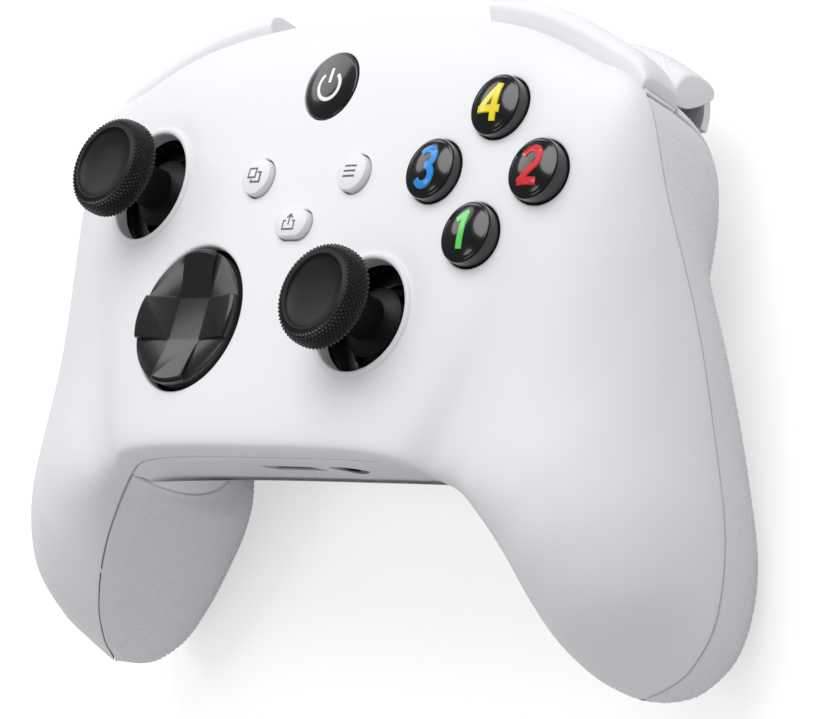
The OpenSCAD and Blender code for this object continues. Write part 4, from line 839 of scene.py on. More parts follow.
def makeRearShell():
    s = rearShell
    edge = body["panelAt"] - 0.06
    ends = np.array([0, 0.007, 0.015, 0.025, 0.04])
    us = np.concatenate([-edge + ends, np.linspace(-edge + 0.09, edge - 0.09, s["uSteps"]),
                         edge - ends[::-1]])
    qs = seamFirst(s["qSteps"])
    u, q = np.meshgrid(us, qs, indexing="ij")
    outer = toTable(skinAt(u, angleOf(q), 0, False)) * 1000
    a, b, k = outer[..., 2], bayUnder(outer[..., 0], outer[..., 1]), s["blend"]
    h = np.clip(0.5 + 0.5 * (a - b) / k, 0, 1)
    shown = outer.copy()
    fade = np.clip(np.minimum(q, 1 - q) / 0.06, 0, 1)
    shown[..., 2] = a + (a * (1 - h) + b * h - k * h * (1 - h) - a) * fade
    normal = gridNormals(shown)
    normal *= np.sign(-normal[len(us) // 2, len(qs) // 2, 2])
    f = body["edgeRound"]
    edges = (shown[:, :1], shown[:, -1:], shown[:1], shown[-1:])
    near = np.min([np.linalg.norm(shown - e, axis=2) for e in edges], axis=0)
    roll = edgeRoll(near, f)
    shown = shown - normal * roll[..., None]
    inner = toTable(skinAt(u * 0.97, angleOf(q), body["wall"], False)) * 1000
    faces = wallFaces(*u.shape)
    obj = looseObject("rearShell", np.vstack([shown.reshape(-1, 3), inner.reshape(-1, 3)]) / 1000, faces)

    wide = body["halfWidth"] - 11.8
    mouth = [(-wide, 60), (-wide, 33), (3 - wide, 31.5), (-53, 34.5), (-36, 40), (36, 40), (53, 34.5),
             (wide - 3, 31.5), (wide, 33), (wide, 60)]
    carve(obj, cutterBox((-s["stepX"], 40, s["shelfZ"]), (s["stepX"], 60, 12)))
    points, faces = prism(mouth, s["stepZ"], s["stepZ"] + 30)
    carve(obj, looseObject("cutter", toTable(points), faces))
    x0, x1 = s["triggerX"] - 0.7, s["triggerX"] + s["triggerW"] + 0.7
    for side in (1, -1):
        xs = sorted((side * s["triggerX"], side * x1))
        carve(obj, cutterBox((xs[0], 33, s["shelfZ"]), (xs[1], 63, s["shelfZ"] + 10)))
        xs = sorted((side * x0, side * x1))
        carve(obj, cutterBox((xs[0], s["pivotY"] - 4.5, -50), (xs[1], s["pivotY"] + 35.5, -10)))

    # shelf under the bridge and the bumpers, cut to the inside of the back
    us = np.linspace(-body["panelAt"], body["panelAt"], 81)
    loops = [skinAt(np.full(61, v), np.linspace(0, 180, 61), body["wall"] * 0.5, False) for v in us]
    points, faces = loftLoops(loops)
    shelf = looseObject("shelf", toTable(points), faces)
    carve(shelf, cutterBox((-34, 36, s["shelfZ"] - 2), (34, 56, s["shelfZ"])), "INTERSECT")
    carve(obj, shelf, "UNION")

    y0 = bay["midY"] + lay["shiftY"]
    points, faces = prism(boxLine(bay["length"] + 3.2, bay["width"] + 3.2, 3, (0, y0)), 1.1,
                          bay["height"] + 1.4)
    carve(obj, looseObject("block", points / 1000, faces), "UNION")
    points, faces = prism(boxLine(bay["length"], bay["width"], 2, (0, y0)), -1, bay["height"])
    carve(obj, looseObject("cutter", points / 1000, faces))
    recess = boxLine(bay["doorL"] + 2 * bay["gap"], bay["doorW"] + 2 * bay["gap"], 4, (0, y0))
    points, faces = prism(recess, -1, bay["doorT"] + 0.25)
    carve(obj, looseObject("cutter", points / 1000, faces))
    half = bay["doorL"] / 2 + bay["gap"]
    carve(obj, cutterBox((-half, y0 - 40, -1), (half, y0, bay["doorT"] + 0.25), False))

    # sockets in the wall between the handles
    r = sockets["jackR"]
    jack = turned([(0, 0), (r, 0), (r, 14), (0, 14)], (0, 0), 64)
    port = prism(boxLine(sockets["portL"], sockets["portW"], sockets["portR"]), 0, 12)
    for name, (points, faces) in (("jack", jack), ("port", port)):
        x, y, z = (sockets[name + axis] for axis in "XYZ")
        points = np.column_stack([points[:, 0] + x, points[:, 2] + body["archY"] + y, points[:, 1] + z])
        carve(obj, looseObject("cutter", toTable(points), faces))
    tidyMesh(obj.data, 2e-6)
    dress(obj, "shellWhite", "housing", ["rear_shell"], 40)


makeRearShell()
print("rear shell done")


# battery door with its thumb ribs
batteryDoor = {"ribs": 7, "ribL": 16, "ribW": 0.9, "ribH": 0.28, "ribPitch": 1.9, "corner": 4, "round": 0.45,
               "rest": 0.36, "finger": 2.2, "ribFrom": 3.2}


def makeBatteryDoor():
    s = batteryDoor
    y0 = bay["midY"] + lay["shiftY"]
    line = boxLine(bay["doorL"], bay["doorW"], s["corner"], (0, y0), 10)
    lower = line[:, 1] < y0 - bay["doorW"] / 2 + s["corner"] + 0.01
    line[lower, 1] -= s["finger"]  # the finger edge reaches past the bay
    points, faces = prism(line, 0, bay["doorT"], s["round"], 4)
    points[:, 2] = bay["doorT"] - points[:, 2]
    obj = looseObject("batteryDoor", points / 1000, faces)
    ys = y0 - bay["doorW"] / 2 + s["ribFrom"] + np.arange(s["ribs"]) * s["ribPitch"]
    line = boxLine(s["ribL"] + 2.4, ys[-1] - ys[0] + 2.8, 1.4, (0, (ys[0] + ys[-1]) / 2))
    points, faces = prism(line, -1, s["rest"])
    carve(obj, looseObject("cutter", points / 1000, faces))
    dress(obj, "shellWhite", "battery_door", ["battery_door"], 40)
    ribs = np.array([[0, y, s["rest"]] for y in ys])
    aims = np.tile([0, 0, -1.0], (len(ribs), 1))
    sides = np.tile([1.0, 0, 0], (len(ribs), 1))
    obj = ribbed("doorRibs", ribs / 1000, aims, sides, (s["ribL"], s["ribW"], s["ribH"]), "shellWhite")
    dress(obj, "shellWhite", "battery_door", (), 40)


def ribTree():  # a bar of round section, flat at both ends, on every point
    tree, into, out = newTree("barsOnPoints", [
        ("Length", "NodeSocketFloat", 0.01), ("Width", "NodeSocketFloat", 0.001),
        ("Height", "NodeSocketFloat", 0.0003),
        ("Finish", "NodeSocketMaterial", None)])
    line = addNode(tree, "GeometryNodeCurvePrimitiveLine", mode="DIRECTION")
    tree.links.new(into.outputs["Length"], line.inputs["Length"])
    line.inputs["Direction"].default_value = (1, 0, 0)
    slide = addNode(tree, "ShaderNodeCombineXYZ", {})
    half = addNode(tree, "ShaderNodeMath", {0: into.outputs["Length"], 1: -0.5}, operation="MULTIPLY")
    tree.links.new(half.outputs[0], slide.inputs["X"])
    centred = addNode(tree, "GeometryNodeTransform", {"Geometry": line.outputs["Curve"],
                                                      "Translation": slide.outputs["Vector"]})
    shape = addNode(tree, "GeometryNodeCurvePrimitiveCircle", {"Resolution": 12})
    halfW = addNode(tree, "ShaderNodeMath", {0: into.outputs["Width"], 1: 0.5}, operation="MULTIPLY")
    tree.links.new(halfW.outputs[0], shape.inputs["Radius"])
    bar = addNode(tree, "GeometryNodeCurveToMesh", {"Curve": centred.outputs["Geometry"],
                                                    "Profile Curve": shape.outputs["Curve"],
                                                    "Fill Caps": True})
    ratio = addNode(tree, "ShaderNodeMath", {0: into.outputs["Height"], 1: halfW.outputs[0]},
                    operation="DIVIDE")
    squat = addNode(tree, "ShaderNodeCombineXYZ", {"X": 1.0, "Y": 1.0, "Z": ratio.outputs[0]})
    low = addNode(tree, "GeometryNodeTransform",
                  {"Geometry": bar.outputs["Mesh"], "Scale": squat.outputs["Vector"]})
    return spreadOnPoints(tree, into, out, low.outputs["Geometry"])


bars = ribTree()


def ribbed(name, tablePoints, aims, sides, sizes, finish):
    return onPoints(name, bars, tablePoints, aims, sides, {
        "Length": sizes[0] / 1000, "Width": sizes[1] / 1000, "Height": sizes[2] / 1000,
        "Finish": finishes[finish]})


makeBatteryDoor()
print("battery door done")


# bumpers, bridge and triggers along the top edge
bumper = {"from": 1.42, "to": 3.86, "reach": 5.2, "crest": 1.5, "height": 8.8, "steps": 90, "around": 60}
bridge = {"end": 1.36, "deep": 2.6, "steps": 90,
          "openings": [(9.8, 4.0, (0, -11.15)), (5.5, 3.1, (-14, -11))]}  # socket and pairing button
trigger = {"steps": 64, "around": 84, "endRound": 0.8, "endShrink": 0.12, "shroudR": 8.6, "shroudT": 1.5,
           "shroudFrom": 138, "shroudTo": 188, "dotFrom": 0.16, "dotTo": 0.50, "dotEdge": 1.2,
           "inner": [(44.5, -15.2), (48.6, -15.5), (51.2, -17.4), (52.2, -20.5), (52, -23.5), (51.4, -25.6),
                     (51.9, -27.4), (50.6, -28.4), (48.2, -27.6), (45, -25.2), (42.9, -22.2), (42, -18.4)],
           "outer": [(38, -15.2), (41.6, -15.5), (43.4, -16.6), (44.3, -18.2), (44.6, -19.6), (44.6, -21),
                     (44.5, -22.4), (44, -23.9), (42.6, -24.4), (41, -22.8), (39.4, -20.6), (38.3, -18.4)]}


def bumperSection(f):
    s = bumper
    r = rowAt(s["from"] + (s["to"] - s["from"]) * f)
    b = r[3:6]
    e = unit(np.array([r[3] - r[0], r[4] - r[1], 0]))
    p = s["reach"] * math.sqrt(1 - (f / 1.03) ** 4)
    root = -1.8 - 3.2 * max(0, 1 - 2.5 * f)
    top = -body["seamGap"] - 0.1
    crest = top + s["crest"] * (1 - f * f)
    low = max(top - s["height"], rearShell["stepZ"] + 0.2 - b[2])
    shape = [(root, top - 0.2), (0, top - 0.1), (0.27 * p, 0.55 * top + 0.45 * crest), (0.52 * p, crest),
             (0.79 * p, crest - 0.35), (0.94 * p, crest - 1.3), (p, crest - 2.8),
             (0.9 * p, 0.3 * top + 0.7 * low), (0.5 * p, 0.06 * top + 0.94 * low), (-1, low), (root, low)]
    return closedCurve([b + e * q[0] + np.array([0, 0, q[1]]) for q in shape], s["around"], 0.42)


def endScaled(loop, share):
    mid = loop.mean(0)
    return mid + (loop - mid) * share


def makeBumpers():
    steps = np.concatenate([[0, 0, 0.004, 0.01], np.linspace(0.02, 0.98, bumper["steps"]),
                            [0.99, 0.996, 1, 1]])
    loops = [bumperSection(f) for f in steps]
    shares = {0: 0.9, 1: 0.955, 2: 0.985, len(steps) - 3: 0.985, len(steps) - 2: 0.955, len(steps) - 1: 0.88}
    loops = [endScaled(l, shares.get(i, 1)) for i, l in enumerate(loops)]
    points, faces = loftLoops(loops)
    for side, p in (("right", points), ("left", mirrorX(points))):
        obj = looseObject(side + "Bumper", toTable(p), faces)
        dress(obj, "shellWhite", side + "_bumper", [side + "_bumper"], 48)


def bridgeSection(u):
    r = rowAt(u)
    b = r[3:6]
    e = unit(np.array([r[3] - r[0], r[4] - r[1], 0]))
    low, top = rearShell["shelfZ"] + 0.2, b[2] - body["seamGap"] - 0.1
    shape = [(-bridge["deep"], top), (0, top), (0.3, b[2] - 4), (-0.1, low), (-bridge["deep"], low)]
    line = roundedLine([shape[-1], *shape, shape[0]], [0, 0.5, 0.9, 0.5, 0], 5)[1:-1]
    return np.array([(b + e * q[0])[:2].tolist() + [q[1]] for q in line])


def throughY(outline, y0, y1):  # outline in X and Z, drawn out along Y
    o = np.asarray(outline, float)
    return loftLoops([np.column_stack([o[:, 0], np.full(len(o), y), o[:, 1]]) for y in (y0, y1)])


def makeBridge():
    us = np.linspace(-bridge["end"], bridge["end"], bridge["steps"])
    points, faces = loftLoops([bridgeSection(u) for u in us])
    obj = looseObject("topBridge", toTable(points), faces)
    for length, width, centre in bridge["openings"]:
        line = pillLine(length, width, 64, centre)
        points, faces = throughY(line, body["topY"] - 8, body["topY"] + 4)
        carve(obj, looseObject("cutter", toTable(points), faces))
    dress(obj, "shellWhite", "housing", ["top_bridge"], 40)


def triggerLoop(f, grow=1.0):
    s = trigger
    x = rearShell["triggerX"] + rearShell["triggerW"] * f
    inner, outer = np.array(s["inner"]), np.array(s["outer"])
    line = closedCurve(inner + f * f * (outer - inner), s["around"], 0.46)
    line = line.mean(0) + (line - line.mean(0)) * grow
    return np.column_stack([np.full(len(line), x), line])


def makeTriggers():
    s, w = trigger, rearShell["triggerW"]
    r = s["endRound"]
    turns = np.linspace(0, math.pi / 2, 8)
    ends = [(r * (1 - math.cos(a)), 1 - s["endShrink"] * (1 - math.sin(a))) for a in turns]
    steps = [(e / w, g) for e, g in ends] + [(f, 1) for f in np.linspace(0.07, 0.93, s["steps"])]
    steps += [(1 - e / w, g) for e, g in ends[::-1]]
    loops = [triggerLoop(f, g) for f, g in steps]
    points, faces = loftLoops(loops)
    arcs = [(s["shroudR"], a) for a in np.linspace(s["shroudFrom"], s["shroudTo"], 17)]
    arcs += [(s["shroudR"] - s["shroudT"], a) for a in np.linspace(s["shroudTo"], s["shroudFrom"], 17)]
    wall = [(rearShell["pivotY"] + q * math.sin(math.radians(a)),
             rearShell["pivotZ"] + q * math.cos(math.radians(a))) for q, a in arcs]
    shroud, shroudFaces = sidewaysPrism(wall, rearShell["triggerX"] + 0.6, rearShell["triggerX"] + w - 1.2)
    grid = np.array(loops)[9:-9]
    normals = gridNormals(grid)
    normals *= np.sign((normals * (grid - grid.mean(axis=(0, 1)))).sum(-1).mean())
    spots, aims = triggerDots(grid, normals)
    for side, m in (("right", np.array([1, 1, 1])), ("left", np.array([-1, 1, 1]))):
        obj = looseObject(side + "Trigger", toTable(points * m), faces)
        carve(obj, looseObject("shroud", toTable(shroud * m), shroudFaces), "UNION")
        tidyMesh(obj.data)
        dress(obj, "shellWhite", side + "_trigger", [side + "_trigger"], 40)
        sides = np.tile([1.0, 0, 0], (len(spots), 1))
        dots = studded(side + "TriggerDots", toTable(spots * m), turnVectors(aims * m), sides,
                       dotSizes(), "shellWhite")
        dress(dots, "shellWhite", side + "_trigger", (), 60)


def triggerDots(grid, normals):  # even rows over the finger face
    spots, aims = [], []
    pitch, count = gripDots["pitch"], trigger["around"]
    first, final = int(count * trigger["dotFrom"]), int(count * trigger["dotTo"])
    xs = grid[:, 0, 0]
    edge = trigger["dotEdge"]
    lines = np.arange(xs[0] + edge, xs[-1] - edge, pitch * gripDots["rowShare"])
    for k, x in enumerate(lines):
        i = int(np.clip(np.searchsorted(xs, x), 1, len(xs) - 1))
        t = (x - xs[i - 1]) / (xs[i] - xs[i - 1])
        line = (grid[i - 1] * (1 - t) + grid[i] * t)[first:final]
        normal = normals[i - 1][first:final]
        arc = runLength(line)
        at = np.arange(0.3 + (k % 2) * pitch / 2, arc[-1], pitch)
        spots.append(np.stack([np.interp(at, arc, line[:, j]) for j in range(3)], -1))
        aims.append(unit(np.stack([np.interp(at, arc, normal[:, j]) for j in range(3)], -1)))
    spots, aims = np.concatenate(spots), np.concatenate(aims)
    return spots - aims * gripDots["sink"], aims


makeBumpers()
makeBridge()
makeTriggers()
print("bumpers, bridge and triggers done")


# sticks: dished cap, knurled side, neck and the dome that shuts the well
stick = {"rise": 11.4, "faceZ": {"left": 1.161, "right": 1.205}, "around": 120, "neckR": 3.6, "domeR": 9.0,
         "domeIn": 7.8, "domeTo": 42, "knurlAround": 66, "knurlStep": 0.46, "knurlR": 0.42, "knurlTop": 0.08,
         "knurlH": 0.3, "knurlFrom": 7, "knurlLow": -4.4, "knurlHigh": -0.25, "knurlSink": 0.02,
         "floorZ": 2.5, "floorIn": 8.0, "floorOut": 10.7}
# cap outline from the middle of the dish to under the rim, as radius and height from the top
capShape = [(0, -1.3), (1.5, -1.28), (3, -1.2), (4.2, -1.04), (5.2, -0.8), (5.85, -0.56), (6.1, -0.42),
            (6.22, -0.24), (6.32, -0.08), (6.45, -0.01), (6.6, 0), (6.74, -0.03), (6.86, -0.12),
            (7.1, -0.19), (7.45, -0.3), (7.75, -0.47), (8.0, -0.77), (8.2, -1.17), (8.35, -1.62),
            (8.43, -2.1), (8.45, -2.6), (8.45, -3.6), (8.36, -4.0), (8.15, -4.35), (7.8, -4.62),
            (7.3, -4.78), (6.4, -4.86), (4.6, -5.05), (4.0, -5.35), (3.7, -5.85), (3.6, -6.5)]


def makeStick(side, x, y):
    s = stick
    top, low = s["faceZ"][side] + s["rise"], controls["pivotZ"]
    skirt = [(s["domeR"] * math.sin(a), low + s["domeR"] * math.cos(a))
             for a in np.radians(np.linspace(24, s["domeTo"], 8))]
    lining = [(s["domeIn"] * math.sin(a), low + s["domeIn"] * math.cos(a))
              for a in np.radians(np.linspace(s["domeTo"], 12, 8))]
    neck = [(s["neckR"], low + s["domeR"] + 0.4)]
    outline = [(r, top + z) for r, z in capShape] + neck + skirt + lining
    points, faces = turned(outline + [(0, low + s["domeIn"])], (x, y), s["around"])
    obj = looseObject(side + "StickCap", toTable(points), faces)
    dress(obj, "dishBlack", side + "_stick", [side + "_stick_cap"], 35)

    band = np.array([p for p in capShape if s["knurlFrom"] < p[0] and s["knurlLow"] < p[1] < s["knurlHigh"]])
    run = runLength(band)
    at = np.arange(0.15, run[-1], s["knurlStep"])
    r, z = np.interp(at, run, band[:, 0]), np.interp(at, run, band[:, 1])
    slope = unit(np.stack([np.interp(at, run, np.gradient(band[:, k], run)) for k in (0, 1)], -1))
    spots, aims, sides = [], [], []
    for k in range(len(at)):
        a = (np.arange(s["knurlAround"]) + 0.5 * (k % 2)) * 2 * math.pi / s["knurlAround"]
        out, flat = np.stack([np.cos(a), np.sin(a)], -1), np.zeros(len(a))
        aim = np.column_stack([out * -slope[k, 1], flat + slope[k, 0]])
        spot = np.column_stack([out * r[k], flat + z[k] + top]) + np.array([x, y, 0])
        spots.append(spot - s["knurlSink"] * aim)
        aims.append(aim)
        sides.append(np.column_stack([-out[:, 1], out[:, 0], flat]))
    spots, aims, sides = (np.concatenate(v) for v in (spots, aims, sides))
    obj = studded(side + "StickKnurl", toTable(spots), turnVectors(aims), turnVectors(sides),
                  (s["knurlR"], s["knurlTop"], s["knurlH"], 4), "knurlBlack")
    dress(obj, "knurlBlack", side + "_stick", (), 25)

    floor = [(s["floorIn"], 0), (s["floorOut"], 0), (s["floorOut"], 0.5), (s["floorIn"] + 0.4, 0.5),
             (s["floorIn"], 0.3), (s["floorIn"], 0)]
    points, faces = turned([(r, low + s["floorZ"] + z) for r, z in floor], (x, y), 72)
    obj = looseObject(side + "WellFloor", toTable(points), faces)
    dress(obj, "wellBlack", "housing", (), 35)


makeStick("left", -controls["outer"][0], controls["outer"][1])
makeStick("right", controls["inner"][0], controls["inner"][1])
print("sticks done")


# direction pad: flat middle, four rising arms and four lower facets
pad = {"r": 12.05, "half": 3.8, "rise": 1.7, "faceZ": 1.205, "dish": 1.9, "slope": 0.09, "chamfer": 0.6,
       "drop": 0.45,
       "seat": -5.0, "flange": 1.75, "bevel": 0.2, "arc": 14}


def makePad():
    s = pad
    cx, cy = -controls["inner"][0], controls["inner"][1]
    r, a, top = s["r"], s["half"], s["faceZ"] + s["rise"]
    z0, rim = top - s["dish"], s["r"] - s["chamfer"]
    rate = (s["dish"] - 0.05) / (rim - a)
    points, faces = [], []

    def armZ(x):
        return z0 + rate * (x - a)

    def facetZ(x, y):
        return z0 + s["slope"] * (x + y - 2 * a)

    def add(x, y, z, k):  # turned by k quarters
        for _ in range(k):
            x, y = -y, x
        points.append((x + cx, y + cy, z))
        return len(points) - 1

    inAngle, outAngle = math.asin(a / rim), math.asin(a / r)
    corners, wall = [], []
    for k in range(4):
        square = [add(a, -a, z0, k), add(a, a, z0, k)]
        tips = [add(rim * math.cos(t), rim * math.sin(t), armZ(rim * math.cos(t)), k)
                for t in np.linspace(-inAngle, inAngle, s["arc"])]
        ends = [add(r * math.cos(t), r * math.sin(t),
                    armZ(rim * math.cos(t * inAngle / outAngle)) - s["drop"], k)
                for t in np.linspace(-outAngle, outAngle, s["arc"])]
        far = r * math.cos(outAngle)
        turn = np.linspace(outAngle, math.pi / 2 - outAngle, 2 * s["arc"])
        facet = [add(r * math.cos(t), r * math.sin(t), facetZ(r * math.cos(t), r * math.sin(t)), k)
                 for t in turn]
        under = add(far, -a, facetZ(far, a), k)
        inner = add(a, a, z0, k)
        faces.append([square[0], *tips, square[1]])
        faces += [[tips[i], ends[i], ends[i + 1], tips[i + 1]] for i in range(s["arc"] - 1)]
        faces.append([square[1], tips[-1], ends[-1], facet[0]])
        faces.append([square[0], under, ends[0], tips[0]])
        faces.append([inner, *facet])
        corners.append(square[0])
        low = [add(r * math.cos(t), r * math.sin(t), s["seat"], k)
               for t in np.linspace(-outAngle, outAngle, s["arc"])]
        lowFacet = [add(r * math.cos(t), r * math.sin(t), s["seat"], k) for t in turn]
        for i in range(s["arc"] - 1):
            f = [low[i], low[i + 1], ends[i + 1], ends[i]]
            if i == s["arc"] - 2:
                f = [low[i], low[i + 1], facet[0], ends[i + 1], ends[i]]
            if i == 0:
                f = f + [under]
            faces.append(f)
        faces += [[lowFacet[i], lowFacet[i + 1], facet[i + 1], facet[i]] for i in range(len(turn) - 1)]
        wall += low[:-1] + lowFacet[:-1]
    faces.append(corners)
    outer = [np.array(points[i]) for i in wall]
    rings = []
    seat, flange = s["seat"], s["flange"]
    for grow, z in ((flange, seat), (flange, seat - 1.2), (-2, seat - 1.2), (-2, seat - 0.2)):
        ring = []
        for p in outer:
            d = unit(np.array([p[0] - cx, p[1] - cy]))
            points.append((cx + d[0] * (r + grow), cy + d[1] * (r + grow), z))
            ring.append(len(points) - 1)
        rings.append(ring)
    for upper, lower in zip([wall] + rings, rings):
        n = len(wall)
        faces += [[upper[j], lower[j], lower[(j + 1) % n], upper[(j + 1) % n]] for j in range(n)]
    faces.append(rings[-1])
    obj = looseObject("directionPad", toTable(points), faces)
    m = obj.modifiers.new("edges", "BEVEL")
    m.width, m.segments, m.limit_method, m.angle_limit = s["bevel"] / 1000, 3, "ANGLE", math.radians(9)
    bake(obj)
    dress(obj, "padBlack", "dpad", ["dpad"], 24)


makePad()
print("direction pad done")


# buttons, and the marks standing on them
button = {"around": 96, "stroke": 1.3, "spread": 1.24, "lift": 0.16, "bevel": 0.12, "sink": 0.25,
          "iconStroke": 0.34, "iconLift": 0.04, "iconBevel": 0.02, "seat": 3.0, "flange": 0.8,
          "flangeT": 1.2}
faceButton = {"r": 5.25, "rise": 2.6, "dome": 1.1, "edge": 0.5}
homeButton = {"r": 5.95, "rise": 0.6, "dome": 0.6, "edge": 0.35, "stroke": 0.66, "lift": 0.05, "bevel": 0.03}
smallButton = {"r": 3.3, "rise": 1.5, "dome": 0.4, "edge": 0.35}
shareButton = {"length": 7.8, "width": 5.0, "rise": 1.5, "edge": 0.4, "crown": 0.25, "stroke": 0.3,
               "fall": 0.09}


def domeDrop(r, radius, dome):
    ball = (radius ** 2 + dome ** 2) / (2 * dome)
    return ball - np.sqrt(ball ** 2 - np.minimum(np.asarray(r, float), radius) ** 2)


def buttonOutline(top, form, seat):
    radius, dome, edge = form["r"], form["dome"], form["edge"]
    wide, low = radius + button["flange"], seat - button["flangeT"]
    rs = np.linspace(0, radius - edge, 14)
    shape = [(r, top - float(domeDrop(r, radius, dome))) for r in rs]
    z = shape[-1][1]
    shape += [(radius - edge * (1 - math.sin(a)), z - edge * (1 - math.cos(a)))
              for a in np.linspace(0.2, math.pi / 2, 7)]
    return shape + [(radius, seat), (wide, seat), (wide, low), (0, low)]


def makeButton(name, x, y, form, finish, rides):
    face = faceHeight(x, y)
    top = face + form["rise"]
    points, faces = turned(buttonOutline(top, form, face - button["seat"]), (x, y), button["around"])
    obj = looseObject(name, toTable(points), faces)
    dress(obj, finish, rides, [rides], 50)

    def height(px, py):
        return top - domeDrop(np.hypot(px, py), form["r"], form["dome"])

    return height


def arcLine(cx, cy, r, start, stop, n=22):
    return [(cx + r * math.cos(a), cy + r * math.sin(a)) for a in np.radians(np.linspace(start, stop, n))]


def strokeMesh(line, width, lift, bevel, sink, height, centre, closed=False):
    p = [np.array(line[0], float)]
    for q in [np.array(q, float) for q in (list(line[1:]) + ([line[0]] if closed else []))]:
        n = max(1, int(np.linalg.norm(q - p[-1]) / 0.3))
        p += [p[-1] + (q - p[-1]) * (k + 1) / n for k in range(n)]
    p = np.array(p[:-1] if closed else p)
    side = np.roll(p, -1, 0) - p
    if not closed:
        side[-1] = side[-2]
    side = unit(side)
    back = np.roll(side, 1, 0)
    if not closed:
        back[0] = side[0]
    normal = np.stack([-side[:, 1], side[:, 0]], -1)
    mitre = unit(normal + np.stack([-back[:, 1], back[:, 0]], -1))
    reach = 1 / np.maximum((mitre * normal).sum(1), 0.55)
    shape = [(-0.5, -sink), (-0.5, lift - bevel), (-0.5 + bevel / width, lift), (0.5 - bevel / width, lift),
             (0.5, lift - bevel), (0.5, -sink)]
    loops = []
    for q, m, g in zip(p, mitre, reach):
        xy = np.array([q + m * g * width * e for e, _ in shape])
        z = height(xy[:, 0], xy[:, 1]) + np.array([h for _, h in shape])
        loops.append(np.column_stack([xy + np.array(centre), z]))
    if not closed:
        return loftLoops(loops)
    points, _ = loftLoops(loops)
    return points, gridFaces(len(loops) + 1, len(shape), wrap=True)


def makeMark(name, strokes, width, lift, bevel, height, centre, finish, rides):
    points, faces, count = [], [], 0
    for k, (line, closed) in enumerate(strokes):  # each stroke stands a hair over the one before
        p, f = strokeMesh(line, width, lift + 0.012 * k, bevel, button["sink"], height, centre, closed)
        faces += [[(v % len(p)) + count for v in face] for face in f]
        points.append(p)
        count += len(p)
    obj = looseObject(name, toTable(np.concatenate(points)), faces)
    dress(obj, finish, rides, (), 40)


numerals = {
    "south": ("inlayGreen", [[(-1.15, 1.35), (0.5, 2.6)], [(0.15, 2.6), (0.15, -2.55)]]),
    "east": ("inlayRed", [arcLine(0, 1.05, 1.4, 165, -38) + [(-1.45, -2.2)],
                          [(-1.6, -2.05), (1.65, -2.05)]]),
    "west": ("inlayBlue", [arcLine(-0.1, 1.2, 1.25, 150, -85), arcLine(-0.1, -1.2, 1.35, 85, -150)]),
    "north": ("inlayYellow", [[(0.95, 2.45), (-1.75, -1.05)], [(-2.1, -0.95), (1.75, -0.95)],
                              [(0.75, 2.6), (0.75, -2.6)]]),
}


def makeFaceButtons():
    for key, (x, y) in faceButtonPlaces().items():
        rides = "face_button_" + key
        height = makeButton(key + "Button", x, y, faceButton, "glossBlack", rides)
        finish, strokes = numerals[key]
        strokes = [(np.array(line) * button["spread"], False) for line in strokes]
        makeMark(key + "Numeral", strokes, button["stroke"], button["lift"], button["bevel"], height, (x, y),
                 finish, rides)


def makeSmallButtons():
    s = frontShell
    h = homeButton
    height = makeButton("homeButton", 0, s["homeY"], h, "glossBlack", "home_button")
    power = [(arcLine(0, -0.15, 2.45, 128, 412, 40), False), ([(0, 3.0), (0, 0.35)], False)]
    makeMark("homeMark", power, h["stroke"], h["lift"], h["bevel"], height, (0, s["homeY"]), "printWhite",
             "home_button")
    frames = [([(-1.45, -0.35), (0.35, -0.35), (0.35, 1.25), (-1.45, 1.25)], True),
              ([(0.75, 0.55), (1.45, 0.55), (1.45, -1.15), (-0.55, -1.15), (-0.55, -0.75)], False)]
    lines = [([(-1.35, y), (1.35, y)], False) for y in (0.9, 0, -0.9)]
    for name, x, icon in (("view", -s["smallX"], frames), ("menu", s["smallX"], lines)):
        rides = name + "_button"
        height = makeButton(name + "Button", x, s["smallY"], smallButton, "buttonWhite", rides)
        makeMark(name + "Mark", icon, button["iconStroke"], button["iconLift"], button["iconBevel"], height,
                 (x, s["smallY"]), "printGrey", rides)


def makeShareButton():
    s = shareButton
    x, y, edge = 0, frontShell["shareY"], s["edge"]
    face = faceHeight(x, y)
    top, low, wide = face + s["rise"], face - button["seat"], button["flange"]
    levels = [(wide, low - button["flangeT"]), (wide, low), (0, low), (0, top - s["crown"] - edge)]
    levels += [(-edge * (1 - math.cos(a)), top - s["crown"] - edge * (1 - math.sin(a)))
               for a in np.linspace(0.25, math.pi / 2, 6)]
    levels += [(-0.9, top - 0.12), (-1.5, top - 0.04), (-2.1, top)]
    loops = [np.column_stack([pillLine(s["length"] + 2 * e, s["width"] + 2 * e, 72, (x, y)), np.full(72, z)])
             for e, z in levels]
    points, faces = loftLoops(loops)
    obj = looseObject("shareButton", toTable(points), faces)
    dress(obj, "buttonWhite", "share_button", ["share_button"], 50)

    def height(px, py):
        return top - s["fall"] * np.maximum(np.abs(py) - 0.4, 0)

    tray = [([(-0.75, 0.2), (-1.3, 0.2), (-1.3, -1.25), (1.3, -1.25), (1.3, 0.2), (0.75, 0.2)], False),
            ([(0, -0.5), (0, 1.35)], False), ([(-0.65, 0.75), (0, 1.4), (0.65, 0.75)], False)]
    makeMark("shareMark", tray, s["stroke"], button["iconLift"], button["iconBevel"], height, (x, y),
             "printGrey", "share_button")


makeFaceButtons()
makeSmallButtons()
makeShareButton()
print("buttons done")


